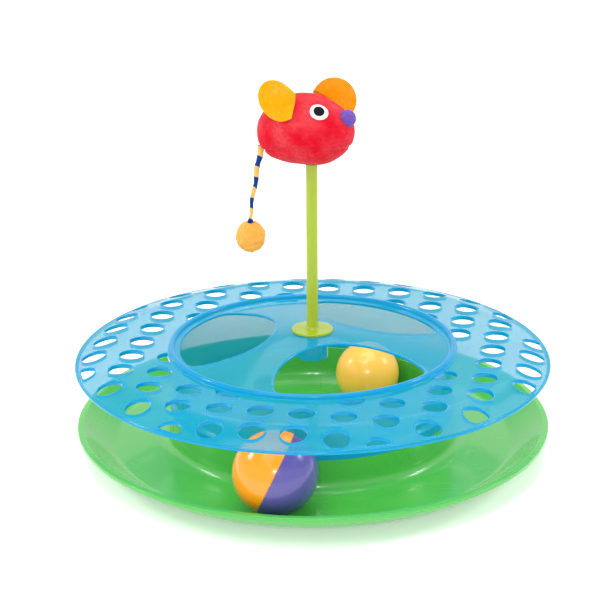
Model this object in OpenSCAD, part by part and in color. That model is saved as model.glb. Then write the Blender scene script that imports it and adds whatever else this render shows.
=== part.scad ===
/* [Base] */
// Outside diameter of the base rim
base_d = 350; // [320:1:370]
// Height of the base rim above what the toy stands on
base_rim_z = 23.5; // [20:0.5:28]
// Height of the lip around the base rim
base_lip_h = 4; // [3:0.5:6]
// Width of the lip's flat top
base_lip_w = 4.5; // [4:0.5:7]
// Height of the track floor and the bowl floor
floor_z = 8; // [7:0.5:10]
// Wall thickness of the base moulding
base_wall = 2.5; // [2:0.1:3]
// Share of the track's width that its flat floor takes, from the bowl wall outward
track_flat_share = 0.59; // [0.53:0.01:0.65]
// Diameter of a rubber foot pad
pad_d = 20; // [14:1:26]
// Thickness of a rubber foot pad
pad_t = 3; // [2.5:0.1:3.5]
// Distance of the foot pads' middles from the bowl wall
pad_inset = 14; // [13:0.5:18]

/* [Bowl and drum] */
// Outside diameter of the bowl wall and of the drum wall above it, as a share of the base's
drum_share = 0.594; // [0.56:0.001:0.61]
// Thickness of the bowl wall and of the drum wall
drum_wall = 2.2; // [1.8:0.1:3]
// Height of the bowl wall above its floor
bowl_h = 31; // [26:1:34]
// Radius between the bowl's wall and its floor
bowl_corner_r = 15; // [8:1:20]
// Room between the outer ball and the lid
ball_headroom = 8.8; // [4:0.1:14]
// Depth of the drum's collar over the bowl rim
collar_h = 5; // [3:0.5:8]
// Thickness of the collar
collar_wall = 1.8; // [1.4:0.1:2.2]

/* [Lid] */
// Distance by which the lid's rim stands out past the base rim
lid_overhang = 0; // [-6:0.5:6]
// Thickness of the dome and of the ring around it
lid_wall = 2.2; // [1.8:0.1:2.6]
// Thickness of the deck and its skirt
deck_wall = 3.2; // [2.4:0.1:3.6]
// Width of the skirt that slopes from the deck to the rim bead
skirt_w = 25; // [15:1:34]
// Height that the skirt falls from the deck to the middle of the bead
skirt_drop = 9; // [6:0.5:11]
// Thickness of the round bead along the lid's rim
bead_d = 3.2; // [3:0.1:5]
// Height of the ring around the dome, above the deck
ring_h = 3.8; // [3:0.1:9]
// Height of the hub's top above the deck
hub_h = 12.2; // [9:0.1:18]
// Diameter of the hub's flat top
hub_d = 33; // [31:1:40]
// Diameter of a hole in the lid
hole_d = 18; // [12:0.5:20]
// Spacing of the square grid of holes
hole_pitch = 28.7; // [26:0.1:34]
// Angle by which the grid of holes is turned
hole_turn = -11.2; // [-45:0.1:45]
// First offset of the grid from the lid's middle
hole_shift_x = 16.8; // [0:0.1:26]
// Second offset of the grid from the lid's middle
hole_shift_y = -12.4; // [-26:0.1:0]

/* [Paw openings] */
// Diameter of the round end of an opening, as a share of the drum's
opening_share = 0.56; // [0.5:0.01:0.58]
// Distance of an opening's middle from the lid's middle, as a share of the drum's radius
opening_reach_share = 0.915; // [0.9:0.001:0.94]
// Direction of the first opening
opening_turn = 50; // [0:1:119]
// Width of the dome left between the openings and the ring
opening_margin = 6; // [5:0.5:12]

/* [Post] */
// Diameter of the post
post_d = 8.5; // [7:0.1:10]
// Height from the hub to the mouse's belly
post_h = 127; // [90:1:150]
// Length of the post inside the mouse
post_grip = 24; // [16:1:28]
// Diameter of the flange on the hub
flange_d = 30.5; // [26:0.5:31]
// Thickness of the flange
flange_t = 1.8; // [1.4:0.1:3]
// Diameter of the spigot below the flange
spigot_d = 14; // [12:0.1:16]
// Length of the spigot
spigot_l = 18; // [12:1:19]
// Wall thickness of the hub's socket
socket_wall = 4.4; // [2:0.1:5]
// Depth of the hub's socket
socket_l = 20.5; // [20:0.5:26]
// Running clearance around the spigot and around the top of the post
turn_gap = 0.05; // [0.02:0.01:0.1]

/* [Balls] */
// Diameter of the outer ball, as a share of the track's width
outer_ball_share = 0.831; // [0.7:0.001:0.84]
// Direction of the outer ball
outer_ball_turn = -101.3; // [-115:0.1:-90]
// Diameter of the ball in the bowl, as a share of the bowl's
inner_ball_share = 0.241; // [0.2:0.001:0.246]
// Direction of the inner ball
inner_ball_turn = 55; // [45:0.1:70]
// Distance between the inner ball and the bowl wall
inner_ball_gap = 2.3; // [0.3:0.1:4]
// Wall thickness of both balls
ball_wall = 1.8; // [1.2:0.1:3]

/* [Mouse] */
// Length of the mouse
mouse_l = 72; // [64:1:84]
// Height of the mouse
mouse_h = 50; // [44:1:60]
// Width of the mouse
mouse_w = 45; // [38:1:56]
// Angle by which the mouse is turned on its post
mouse_turn = -25; // [-60:1:60]
// Diameter of an ear
ear_d = 30; // [24:1:34]
// Thickness of the ears' felt
ear_t = 1.6; // [1.2:0.1:2.2]
// Diameter of the white of an eye
eye_d = 13.5; // [10:0.5:16]
// Diameter of a pupil
pupil_d = 8; // [5:0.5:9]
// Thickness of an eye's patches
patch_t = 0.8; // [0.6:0.1:1.2]
// Diameter of the nose
nose_d = 12.5; // [9:0.5:15]
// Wall thickness of the sleeve that takes the post
sleeve_wall = 1.7; // [1.2:0.1:2.5]

/* [Tail] */
// Diameter of the tail at the mouse
tail_root_d = 4.6; // [4:0.1:6]
// Diameter of the tail at the knot
tail_end_d = 2.8; // [2.4:0.1:3.6]
// Diameter of the knot
knot_d = 5.6; // [4:0.1:7]
// Diameter of the tail's ball
tail_ball_d = 22; // [18:0.5:26]

/* [Hidden] */
$fn = 96;

// Overrun of every cut
over = 1;
// Clearance between pieces that move past each other
gap = 0.3;

// Base moulding
base_r = base_d / 2;
drum_r = base_r * drum_share;
bowl_r = drum_r - drum_wall;
track_w = base_r - drum_r;
track_flat_r = drum_r + track_w * track_flat_share;
lip_round = base_lip_h / 4;
pad_depth = pad_t / 2;
pad_boss_d = pad_d + 2 * base_wall;
pad_reach = drum_r + pad_inset;
pad_start = 45;
pad_count = 4;
bowl_rim_z = floor_z + bowl_h;

// Balls
outer_ball_d = track_w * outer_ball_share;
outer_ball_r = outer_ball_d / 2;
inner_ball_d = 2 * bowl_r * inner_ball_share;
inner_ball_r = inner_ball_d / 2;
outer_ball_gap = 0.4;
inner_orbit_r = bowl_r - inner_ball_r - inner_ball_gap;
seam_turn = -9.7;
seam_dip = 24.8;

// Lid
lid_r = base_r + lid_overhang;
bead_r = bead_d / 2;
bead_x = lid_r - bead_r;
deck_under_z = floor_z + gap + outer_ball_d + ball_headroom;
deck_z = deck_under_z + deck_wall;
bead_z = deck_z - skirt_drop;
bend_r = lid_r - skirt_w;
collar_in_r = drum_r + gap;
collar_out_r = collar_in_r + collar_wall;
outer_orbit_r = collar_out_r + outer_ball_gap + outer_ball_r;
ring_in_r = bowl_r - lid_wall;
ring_out_r = collar_out_r;
ring_bead_r = (ring_out_r - ring_in_r) / 2 - lid_wall / 2;
ring_crest_r = ring_out_r - ring_bead_r;
hub_z = deck_z + hub_h;
hub_r = hub_d / 2;
dome_edge_z = deck_z;
hole_margin = lid_wall / 2;
hole_clip_in_r = ring_out_r + hole_margin;
hole_clip_out_r = bead_x - bead_r - hole_margin / 2;
hole_reach = hole_d / 6;
hole_span = ceil(lid_r / hole_pitch) + 1;
opening_count = 3;
opening_d = 2 * drum_r * opening_share;
opening_reach = drum_r * opening_reach_share;
opening_limit_r = drum_r - opening_margin;

// Post
post_r = post_d / 2;
spigot_r = spigot_d / 2;
socket_r = spigot_r + turn_gap;
post_foot_r = post_r + flange_t;
post_foot_h = 2 * flange_t;
flange_round = flange_t / 3;
belly_z = hub_z + post_h;
sleeve_in_r = post_r + turn_gap;
sleeve_out_r = sleeve_in_r + sleeve_wall;
sleeve_start = gap;

// Mouse outline: place along the length, then top, underside and width, as shares of the mouse
mouse_shares = [
    [0, 0.455, 0.43, 0], [0.008, 0.55, 0.33, 0.28], [0.035, 0.65, 0.23, 0.5],
    [0.09, 0.76, 0.13, 0.7], [0.18, 0.88, 0.05, 0.87], [0.34, 0.98, 0.01, 0.98],
    [0.54, 1, 0, 1], [0.72, 0.93, 0.03, 0.9], [0.86, 0.82, 0.14, 0.7],
    [0.945, 0.7, 0.27, 0.48], [0.985, 0.6, 0.37, 0.27], [1, 0.5, 0.47, 0]];
mouse_back = mouse_l * 5 / 9;
mouse_sides = 20;
mouse_steps = 2;
mouse_round = 2.4;
seam_front_share = 0.27;
seam_back_share = 0.14;
ear_cut = ear_d / 15;
ear_near_shares = [-0.076, -0.35, 0.87];
ear_near_turns = [-40, -15.7, 220];
ear_far_shares = [0.058, 0.47, 0.58];
ear_far_turns = [-63, -76, -2];
eye_place_share = 0.16;
eye_turn = 80;
eye_tilt = 50;
nose_shares = [0.385, 0, 0.71];

// Tail route in the mouse's own frame, from its root at the rump to the knot
tail_points = [
    [-37.5, -6, 10.5], [-38.2, -6.3, 3.5], [-39.4, -6.9, -4], [-40.6, -7.4, -12],
    [-41.8, -8, -20], [-43, -8.5, -28], [-44.2, -9.1, -36], [-45, -9.5, -44.5]];
tail_sides = 8;
tail_root = tail_points[0];
tail_tip = tail_points[len(tail_points) - 1];
knot_h = knot_d * 0.8;
tail_ball_z = tail_tip.z - knot_h - tail_ball_d / 2 + gap;

// Points of a curve from a to c, drawn towards b
function curve(a, b, c, n) =
    [for (i = [0:n]) let (t = i / n) pow(1 - t, 2) * a + 2 * t * (1 - t) * b + pow(t, 2) * c];

// Points of an arc about a centre, from one angle to another
function arc(centre, r, start, end, n) =
    [for (i = [0:n]) let (a = start + (end - start) * i / n) centre + r * [cos(a), sin(a)]];

// One point between q and r of a smooth line through p, q, r and s
function smooth(p, q, r, s, t) =
    (2 * q + (r - p) * t + (2 * p - 5 * q + 4 * r - s) * pow(t, 2)
    + (3 * q - p - 3 * r + s) * pow(t, 3)) / 2;

// Signed power that squares off a round section
function squared(v) = sign(v) * pow(abs(v), 2 / mouse_round);

// Cross-section of the mouse: a row of the outline as a ring of points, grown on all sides
function mouse_ring(row, grow) =
    let (x = row[0] * (mouse_l + 2 * grow) - mouse_back - grow,
        top = row[1] * mouse_h + grow,
        bottom = row[2] * mouse_h - grow,
        half = row[3] * mouse_w / 2 + grow)
    [for (i = [0:mouse_sides - 1]) let (a = 360 * i / mouse_sides)
        [x, half * squared(cos(a)), (top + bottom) / 2 + (top - bottom) / 2 * squared(sin(a))]];

// Rows of the mouse's outline, with smooth ones between those of the table
function mouse_rows() =
    let (last = len(mouse_shares) - 1)
    [for (i = [1:last - 2], k = [0:mouse_steps - 1])
        smooth(mouse_shares[i - 1], mouse_shares[i], mouse_shares[i + 1], mouse_shares[i + 2],
            k / mouse_steps),
        mouse_shares[last - 1]];

// Triangles between neighbouring rings of points, with a fan at each end
function skin_faces(rings, sides) = [
    for (r = [0:rings - 2], i = [0:sides - 1])
        let (a = r * sides + i, b = r * sides + (i + 1) % sides)
        each [[a, b + sides, b], [a, a + sides, b + sides]],
    for (i = [0:sides - 1])
        let (first = rings * sides, j = (i + 1) % sides, end = (rings - 1) * sides)
        each [[first, i, j], [first + 1, end + j, end + i]]];

// Closed skin over rings of points, with a point before the first ring and one after the last
module skin(rings, start, end) {
    points = [for (ring = rings) each ring, start, end];
    polyhedron(points, skin_faces(len(rings), len(rings[0])), convexity = 4);
}

// The whole stuffed mouse, in its own frame, grown on all sides
module mouse_solid(grow) {
    start = mouse_shares[0];
    end = mouse_shares[len(mouse_shares) - 1];
    rings = [for (row = mouse_rows()) mouse_ring(row, grow)];
    skin(rings,
        [-mouse_back - grow, 0, (start[1] + start[2]) / 2 * mouse_h],
        [mouse_l - mouse_back + grow, 0, (end[1] + end[2]) / 2 * mouse_h]);
}

// Puts what is drawn in the mouse's own frame onto the post
module on_post() {
    translate([0, 0, belly_z]) rotate([0, 0, mouse_turn]) children();
}

// Everything below the seam that joins the belly panel to the mouse's back
module below_seam() {
    seam_z = (seam_back_share + seam_front_share) / 2 * mouse_h;
    lean = atan((seam_front_share - seam_back_share) * mouse_h / mouse_l);
    translate([mouse_l / 2 - mouse_back, 0, seam_z])
        rotate([0, -lean, 0])
        translate([-mouse_l, -mouse_w, -mouse_h])
        cube([2 * mouse_l, 2 * mouse_w, mouse_h]);
}

// Room for the post's sleeve and for the root of the tail
module mouse_pockets() {
    pocket_r = sleeve_out_r + turn_gap;
    cylinder(h = sleeve_start + post_grip + gap + sleeve_wall + turn_gap, r = pocket_r);
    translate([0, 0, -mouse_h]) cylinder(h = mouse_h + over, r = pocket_r);
    translate(tail_root) sphere(r = tail_root_d / 2 + gap);
}

module base_tray() {
    rim_in_r = base_r - base_lip_w;
    under_z = floor_z - base_wall;
    lip_under = base_rim_z - base_lip_h;
    bend_w = (rim_in_r - track_flat_r) / 4;
    color("limegreen") difference() {
        union() {
            rotate_extrude() polygon(concat(
                [[drum_r, floor_z]],
                curve([track_flat_r, floor_z], [track_flat_r + bend_w, floor_z],
                    [rim_in_r, base_rim_z], 8),
                arc([base_r - lip_round, base_rim_z - lip_round], lip_round, 90, 0, 4),
                [[base_r, lip_under], [base_r - base_wall, lip_under]],
                curve([base_r - base_wall, lip_under], [track_flat_r + 2 * bend_w, under_z],
                    [track_flat_r + base_wall, under_z], 8),
                [[drum_r, under_z]]));
            for (i = [0:pad_count - 1]) rotate(pad_start + i * 360 / pad_count)
                translate([pad_reach, 0, pad_t - pad_depth])
                cylinder(h = floor_z - pad_t, d = pad_boss_d);
        }
        for (i = [0:pad_count - 1]) rotate(pad_start + i * 360 / pad_count)
            translate([pad_reach, 0, 0]) cylinder(h = pad_t, d = pad_d);
        cylinder(h = floor_z, r = drum_r);
    }
}

module ball_bowl() {
    under_z = floor_z - base_wall;
    rim_round = drum_wall / 2;
    color("limegreen") rotate_extrude() polygon(concat(
        [[0, under_z], [drum_r, under_z]],
        arc([drum_r - rim_round, bowl_rim_z - rim_round], rim_round, 0, 90, 3),
        [[bowl_r, bowl_rim_z]],
        arc([bowl_r - bowl_corner_r, floor_z + bowl_corner_r], bowl_corner_r, 0, -90, 6),
        [[0, floor_z]]));
}

module foot_pad(i) {
    color("dimgray") rotate(pad_start + i * 360 / pad_count)
        translate([pad_reach, 0, 0]) cylinder(h = pad_t, d = pad_d);
}

// Square grid of upright holes, cut off by the ring inside and by the rim bead outside
module lid_holes() {
    far = hole_clip_out_r + hole_reach;
    near = hole_clip_in_r - hole_reach;
    cut_h = skirt_drop + bead_d + 2 * over;
    intersection() {
        for (i = [-hole_span:hole_span], j = [-hole_span:hole_span])
            let (x = i * hole_pitch + hole_shift_x, y = j * hole_pitch + hole_shift_y,
                away = norm([x, y]))
            if (away < far && away > near)
                rotate(hole_turn) translate([x, y, deck_z + over - cut_h])
                cylinder(h = cut_h, d = hole_d, $fn = 32);
        translate([0, 0, deck_z + over - cut_h]) difference() {
            cylinder(h = cut_h, r = hole_clip_out_r);
            translate([0, 0, -over]) cylinder(h = cut_h + 2 * over, r = hole_clip_in_r);
        }
    }
}

module track_lid() {
    color("deepskyblue", 0.5) difference() {
        rotate_extrude() polygon(concat(
            [[ring_out_r, deck_under_z], [ring_out_r, deck_z], [bend_r, deck_z]],
            arc([bead_x, bead_z], bead_r, 95, -170, 12),
            [[bend_r, deck_under_z]]));
        lid_holes();
    }
}

module lid_drum() {
    collar_z = bowl_rim_z - collar_h;
    color("deepskyblue", 0.5) rotate_extrude() polygon([
        [bowl_r, bowl_rim_z], [collar_in_r, bowl_rim_z], [collar_in_r, collar_z],
        [collar_out_r, collar_z], [collar_out_r, bowl_rim_z + collar_wall],
        [drum_r, bowl_rim_z + 2 * collar_wall], [drum_r, deck_under_z], [bowl_r, deck_under_z]]);
}

// One paw opening: a circle cut off along the ring
module paw_opening() {
    intersection() {
        translate([opening_reach, 0, deck_under_z]) cylinder(h = hub_h + lid_wall + over, d = opening_d);
        translate([0, 0, deck_under_z]) cylinder(h = hub_h + lid_wall + over, r = opening_limit_r);
    }
}

module lid_dome() {
    ring_top_z = deck_z + ring_h;
    crest = [ring_crest_r, ring_top_z - ring_bead_r];
    edge_x = ring_crest_r - ring_bead_r - lid_wall / 2;
    swell = [edge_x - (edge_x - hub_r) / 2, dome_edge_z + hub_h * 0.6];
    drop = [0, -lid_wall];
    socket_out_r = socket_r + socket_wall;
    color("deepskyblue", 0.5) difference() {
        rotate_extrude() polygon(concat(
            [[ring_out_r, deck_under_z]],
            arc(crest, ring_bead_r, 0, 180, 8),
            curve([edge_x, dome_edge_z], swell, [hub_r, hub_z], 8),
            [[socket_r, hub_z], [socket_r, hub_z - socket_l],
                [socket_out_r, hub_z - socket_l], [socket_out_r, hub_z - lid_wall]],
            curve([hub_r, hub_z] + drop, swell + drop, [edge_x, dome_edge_z] + drop, 8),
            [[bowl_r, dome_edge_z - lid_wall], [bowl_r, deck_under_z]]));
        for (i = [0:opening_count - 1]) rotate(opening_turn + i * 360 / opening_count) paw_opening();
    }
}

module toy_post() {
    tip_z = belly_z + sleeve_start + post_grip;
    tip_round = post_r / 4;
    rim = [flange_d / 2 - flange_round, hub_z + flange_t - flange_round];
    color("yellowgreen") rotate_extrude() polygon(concat(
        [[0, hub_z - spigot_l], [spigot_r - tip_round, hub_z - spigot_l],
            [spigot_r, hub_z - spigot_l + tip_round], [spigot_r, hub_z], [flange_d / 2, hub_z]],
        arc(rim, flange_round, 0, 90, 3),
        curve([post_foot_r, hub_z + flange_t], [post_r, hub_z + flange_t],
            [post_r, hub_z + flange_t + post_foot_h], 4),
        arc([post_r - tip_round, tip_z - tip_round], tip_round, 0, 90, 3),
        [[0, tip_z]]));
}

// Half of a hollow ball about its own centre, with its pole along +Z
module ball_half(d) {
    difference() {
        sphere(d = d);
        sphere(d = d - 2 * ball_wall);
        translate([-d, -d, -2 * d]) cube(2 * d);
    }
}

module at_outer_ball() {
    rotate(outer_ball_turn) translate([outer_orbit_r, 0, floor_z + gap + outer_ball_r])
        rotate([0, 0, seam_turn - outer_ball_turn]) rotate([0, 90 + seam_dip, 0]) children();
}

module at_inner_ball() {
    rotate(inner_ball_turn) translate([inner_orbit_r, 0, floor_z + gap + inner_ball_r]) children();
}

module outer_ball_orange() {
    color("orange") at_outer_ball() rotate([180, 0, 0]) ball_half(outer_ball_d);
}

module outer_ball_purple() {
    color("slateblue") at_outer_ball() ball_half(outer_ball_d);
}

module inner_ball_upper() {
    color("orange") at_inner_ball() ball_half(inner_ball_d);
}

module inner_ball_lower() {
    color("orange") at_inner_ball() rotate([180, 0, 0]) ball_half(inner_ball_d);
}

module mouse_body() {
    color("crimson") on_post() difference() {
        mouse_solid(0);
        below_seam();
        mouse_pockets();
    }
}

module mouse_belly() {
    color("crimson") on_post() difference() {
        intersection() {
            mouse_solid(0);
            below_seam();
        }
        mouse_pockets();
    }
}

module mouse_sleeve() {
    room = sleeve_start + post_grip + gap;
    color("white") on_post() difference() {
        cylinder(h = room + sleeve_wall, r = sleeve_out_r);
        translate([0, 0, -over]) cylinder(h = room + over, r = sleeve_in_r);
    }
}

// A felt ear: a disc that its seam cuts off, laid along +X from the seam
module ear(place, turns) {
    on_post() difference() {
        translate([place[0] * mouse_l, place[1] * mouse_w, place[2] * mouse_h])
            rotate([0, 0, turns[2]]) rotate([0, turns[1], 0]) rotate([turns[0], 0, 0])
            translate([-ear_cut, 0, -ear_t / 2]) linear_extrude(ear_t) difference() {
                translate([ear_d / 2, 0]) circle(d = ear_d);
                translate([-ear_d, -ear_d]) square([ear_d + ear_cut / 2, 2 * ear_d]);
            }
        mouse_solid(0);
    }
}

module ear_near() {
    color("gold") ear(ear_near_shares, ear_near_turns);
}

module ear_far() {
    color("orange") ear(ear_far_shares, ear_far_turns);
}

// A round patch that lies on the head, between two thicknesses above its skin
module patch(side, d, low, high) {
    on_post() difference() {
        intersection() {
            mouse_solid(high);
            translate([eye_place_share * mouse_l, 0, mouse_h / 2])
                rotate([0, 0, side * eye_turn]) rotate([0, eye_tilt, 0]) cylinder(h = mouse_h, d = d);
        }
        mouse_solid(low);
    }
}

module eye_white_near() {
    color("white") patch(-1, eye_d, 0, patch_t);
}

module eye_white_far() {
    color("white") patch(1, eye_d, 0, patch_t);
}

module pupil_near() {
    color("black") patch(-1, pupil_d, patch_t, 2 * patch_t);
}

module pupil_far() {
    color("black") patch(1, pupil_d, patch_t, 2 * patch_t);
}

module nose() {
    color("mediumpurple") on_post() difference() {
        translate([nose_shares[0] * mouse_l, nose_shares[1] * mouse_w, nose_shares[2] * mouse_h])
            sphere(d = nose_d);
        mouse_solid(0);
    }
}

// Ring of points around one point of the tail's route
function tail_ring(i) =
    let (last = len(tail_points) - 1,
        run = tail_points[min(i + 1, last)] - tail_points[max(i - 1, 0)],
        along = i == last ? [0, 0, -1] : run / norm(run),
        across = cross(along, [0, 1, 0]) / norm(cross(along, [0, 1, 0])),
        up = cross(along, across),
        r = (tail_root_d + (tail_end_d - tail_root_d) * i / last) / 2)
    [for (k = [0:tail_sides - 1]) let (a = 360 * k / tail_sides)
        tail_points[i] + r * (cos(a) * across + sin(a) * up)];

module tail_cord() {
    root_top = tail_root + [0, 0, tail_root_d / 2];
    color("wheat") on_post() skin([for (i = [0:len(tail_points) - 1]) tail_ring(i)], root_top, tail_tip);
}

module tail_knot() {
    round = knot_d / 5;
    color("navy") on_post() difference() {
        translate(tail_tip + [0, 0, -knot_h]) rotate_extrude() polygon(concat(
            [[0, 0]],
            arc([knot_d / 2 - round, round], round, -90, 0, 3),
            arc([knot_d / 2 - round, knot_h - round], round, 0, 90, 3),
            [[0, knot_h]]));
        translate([tail_tip.x, tail_tip.y, tail_ball_z]) sphere(d = tail_ball_d);
    }
}

module tail_ball() {
    color("sandybrown") on_post() translate([tail_tip.x, tail_tip.y, tail_ball_z]) sphere(d = tail_ball_d);
}

base_tray();
ball_bowl();
foot_pad(0);  // foot_pad_1
foot_pad(1);  // foot_pad_2
foot_pad(2);  // foot_pad_3
foot_pad(3);  // foot_pad_4
track_lid();
lid_drum();
lid_dome();
toy_post();
outer_ball_orange();
outer_ball_purple();
inner_ball_upper();
inner_ball_lower();
mouse_body();
mouse_belly();
mouse_sleeve();
ear_near();
ear_far();
eye_white_near();
eye_white_far();
pupil_near();
pupil_far();
nose();
tail_cord();
tail_knot();
tail_ball();
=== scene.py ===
"""Visual model of a round cat toy: a ball track under a perforated clear lid, a bowl with a second ball
under a dome with paw openings, and a stuffed mouse on a post. Lengths are metres in the CAD frame:
X to the right, Y away from the camera, Z up, with the origin under the middle of the base."""

import math

import bmesh
import bpy
import numpy as np
from mathutils import Matrix, Vector
from mathutils.geometry import delaunay_2d_cdt


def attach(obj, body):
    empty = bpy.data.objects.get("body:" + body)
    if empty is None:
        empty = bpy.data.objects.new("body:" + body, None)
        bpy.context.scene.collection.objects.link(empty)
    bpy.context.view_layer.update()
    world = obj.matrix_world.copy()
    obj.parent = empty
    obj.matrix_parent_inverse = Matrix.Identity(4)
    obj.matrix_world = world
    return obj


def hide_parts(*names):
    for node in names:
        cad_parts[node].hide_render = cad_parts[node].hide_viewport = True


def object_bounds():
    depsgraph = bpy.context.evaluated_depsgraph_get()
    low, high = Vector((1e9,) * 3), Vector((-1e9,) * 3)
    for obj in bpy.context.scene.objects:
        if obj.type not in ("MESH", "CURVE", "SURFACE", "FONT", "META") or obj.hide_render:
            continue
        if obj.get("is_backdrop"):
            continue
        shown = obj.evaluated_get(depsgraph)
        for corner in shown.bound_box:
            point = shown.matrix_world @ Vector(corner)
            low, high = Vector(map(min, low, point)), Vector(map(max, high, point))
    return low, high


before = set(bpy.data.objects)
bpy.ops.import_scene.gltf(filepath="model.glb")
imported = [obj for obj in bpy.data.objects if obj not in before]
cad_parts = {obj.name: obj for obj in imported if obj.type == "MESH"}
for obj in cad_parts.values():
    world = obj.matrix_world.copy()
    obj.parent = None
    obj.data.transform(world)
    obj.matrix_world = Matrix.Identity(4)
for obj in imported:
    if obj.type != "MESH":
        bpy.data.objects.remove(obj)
CAD_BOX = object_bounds()

bl_info = {
    "name": "Cat ball track toy",
    "version": (1, 0, 0),
    "blender": (4, 5, 0),
    "location": "View3D > Sidebar > Cat Toy",
    "description": "Builds the visible pieces of a round cat ball track toy",
    "category": "Object",
}

MM = 0.001
TAU = 2 * math.pi
TURN_STEPS = 288    # steps round the axis of the lid and the base
BALL_STEPS, POST_STEPS, FOOT_STEPS = 128, 96, 64
HARD_ANGLE, LID_HARD_ANGLE = 35, 50    # degrees over which an edge of a moulding stays sharp
MERGE_DISTANCE = 2e-6
NOISE_CELLS = 4096
NOISE_PRIMES = np.array([73856093, 19349663, 83492791])


def srgb(red, green, blue):
    """Linear colour of an 8-bit screen colour: ((c + 0.055) / 1.055) to the power 2.4."""
    c = (np.array([red, green, blue], float) / 255 + 0.055) / 1.055
    return tuple(np.power(c, 2.4).tolist())


# Sizes and colours: each with its name, its default in millimetres, degrees or 8-bit red, green and blue,
# and its description


def length(name, default, about):
    return bpy.props.FloatProperty(
        name=name, description=about, default=default * MM, unit="LENGTH", subtype="DISTANCE", precision=5)


def angle(name, default, about):
    return bpy.props.FloatProperty(
        name=name, description=about, default=math.radians(default), unit="ROTATION", subtype="ANGLE")


def number(name, default, about, **limits):
    return bpy.props.FloatProperty(name=name, description=about, default=default, min=0, **limits)


def vector(name, default, about):
    return bpy.props.FloatVectorProperty(
        name=name, description=about, default=default, size=len(default), unit="LENGTH", precision=5)


def colour(name, rgb, about):
    return bpy.props.FloatVectorProperty(
        name=name, description=about, default=srgb(*rgb), subtype="COLOR", size=3, min=0, max=1)


class ToyTraySizes(bpy.types.PropertyGroup):
    """Sizes of the green base moulding and its feet"""

    radius: length("Rim radius", 175, "Outside radius of the base rim")
    rim_z: length("Rim height", 23.5, "Height of the base rim above the floor")
    lip_h: length("Lip height", 3.2, "Height of the lip round the rim")
    lip_w: length("Lip width", 4.5, "Width of the lip's flat top")
    floor_z: length("Track floor", 8, "Height of the track floor")
    wall: length("Wall", 2.5, "Wall thickness of the moulding")
    flat_r: length("Flat floor radius", 145.87, "Radius at which the track floor starts to rise")
    bowl_r: length("Bowl wall radius", 103.95, "Outside radius of the bowl wall")
    bowl_wall: length("Bowl wall", 2.2, "Thickness of the bowl wall")
    bowl_rim_z: length("Bowl rim height", 39, "Height of the bowl's rim")
    bowl_round: length("Bowl corner", 15, "Radius between the bowl's wall and floor")
    pad_d: length("Foot pad", 20, "Diameter of a foot pad")
    pad_t: length("Foot pad thickness", 3, "Thickness of a foot pad")
    pad_reach: length("Foot pad reach", 117.95, "Distance of the foot pads from the middle")


class ToyLidSizes(bpy.types.PropertyGroup):
    """Sizes of the clear lid"""

    deck_z: length("Deck height", 79.34, "Height of the lid's flat deck")
    deck_wall: length("Deck thickness", 3.2, "Thickness of the deck and its skirt")
    wall: length("Dome thickness", 2.2, "Thickness of the dome")
    bead_x: length("Rim bead reach", 173.4, "Radius at which the rim's bead runs")
    bead_z: length("Rim bead height", 70.34, "Height of the middle of the rim's bead")
    bead_r: length("Rim bead", 1.6, "Radius of the rim's bead")
    bend_r: length("Bend radius", 150, "Radius at which the skirt leaves the deck")
    ring_r: length("Ring radius", 106.05, "Outside radius of the ring round the dome")
    ring_top_z: length("Ring height", 83.14, "Height of the ring's crest")
    crest_r: length("Ring crest", 2.15, "Radius of the ring's rounded crest")
    edge_r: length("Dome edge", 100.65, "Radius of the dome's edge")
    edge_z: length("Dome edge height", 79.34, "Height of the dome at its edge")
    hub_r: length("Hub radius", 16.5, "Radius of the flat hub")
    hub_z: length("Hub height", 91.54, "Height of the hub")
    hole_r: length("Hole radius", 9, "Radius of a hole")
    hole_pitch: length("Hole spacing", 28.7, "Spacing of the square grid of holes")
    hole_turn: angle("Hole grid turn", -11.2, "Turn of the grid of holes")
    hole_shift: vector(
        "Hole grid shift", (16.8 * MM, -12.4 * MM), "Offset of the grid of holes from the middle")
    opening_r: length("Opening radius", 56.8, "Radius of a paw opening's round end")
    opening_reach: length("Opening reach", 85, "Distance of an opening's middle from the axis")
    opening_limit: length("Opening limit", 97.95, "Radius at which the openings are cut off")
    opening_turn: angle("Opening turn", 50, "Direction of the first paw opening")
    socket_r: length("Socket bore", 7.05, "Radius of the post's socket")
    socket_wall: length("Socket wall", 4.4, "Wall thickness of the socket")
    socket_l: length("Socket depth", 20.5, "Depth of the socket below the hub")
    drum_r: length("Drum radius", 103.95, "Outside radius of the drum wall")
    drum_foot_z: length("Drum foot", 39, "Height at which the drum stands on the bowl's rim")
    collar_h: length("Collar depth", 5, "Depth of the collar over the bowl's rim")


class ToyPostSizes(bpy.types.PropertyGroup):
    """Sizes of the post"""

    radius: length("Post radius", 4.25, "Radius of the post")
    tip_z: length("Post tip", 242.84, "Height of the post's top inside the mouse")
    spigot_r: length("Spigot radius", 7, "Radius of the spigot in the socket")
    spigot_l: length("Spigot length", 18, "Length of the spigot")
    flange_r: length("Flange radius", 15.25, "Radius of the flange on the hub")
    flange_t: length("Flange thickness", 1.8, "Thickness of the flange")


class ToyBallSizes(bpy.types.PropertyGroup):
    """Sizes and places of the two balls"""

    outer_r: length("Outer ball radius", 29.521, "Radius of the ball in the track")
    outer_orbit: length("Outer ball orbit", 135.971, "Distance of the outer ball from the axis")
    outer_turn: angle("Outer ball direction", -101.3, "Direction of the outer ball")
    inner_r: length("Inner ball radius", 24.522, "Radius of the ball in the bowl")
    inner_orbit: length("Inner ball orbit", 74.928, "Distance of the inner ball from the axis")
    inner_turn: angle("Inner ball direction", 55, "Direction of the inner ball")
    wall: length("Ball wall", 1.8, "Wall thickness of both balls")
    seam_turn: angle("Seam turn", -9.7, "Direction in which the purple half faces")
    seam_dip: angle("Seam dip", 24.8, "Angle by which the purple half faces down")


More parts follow.
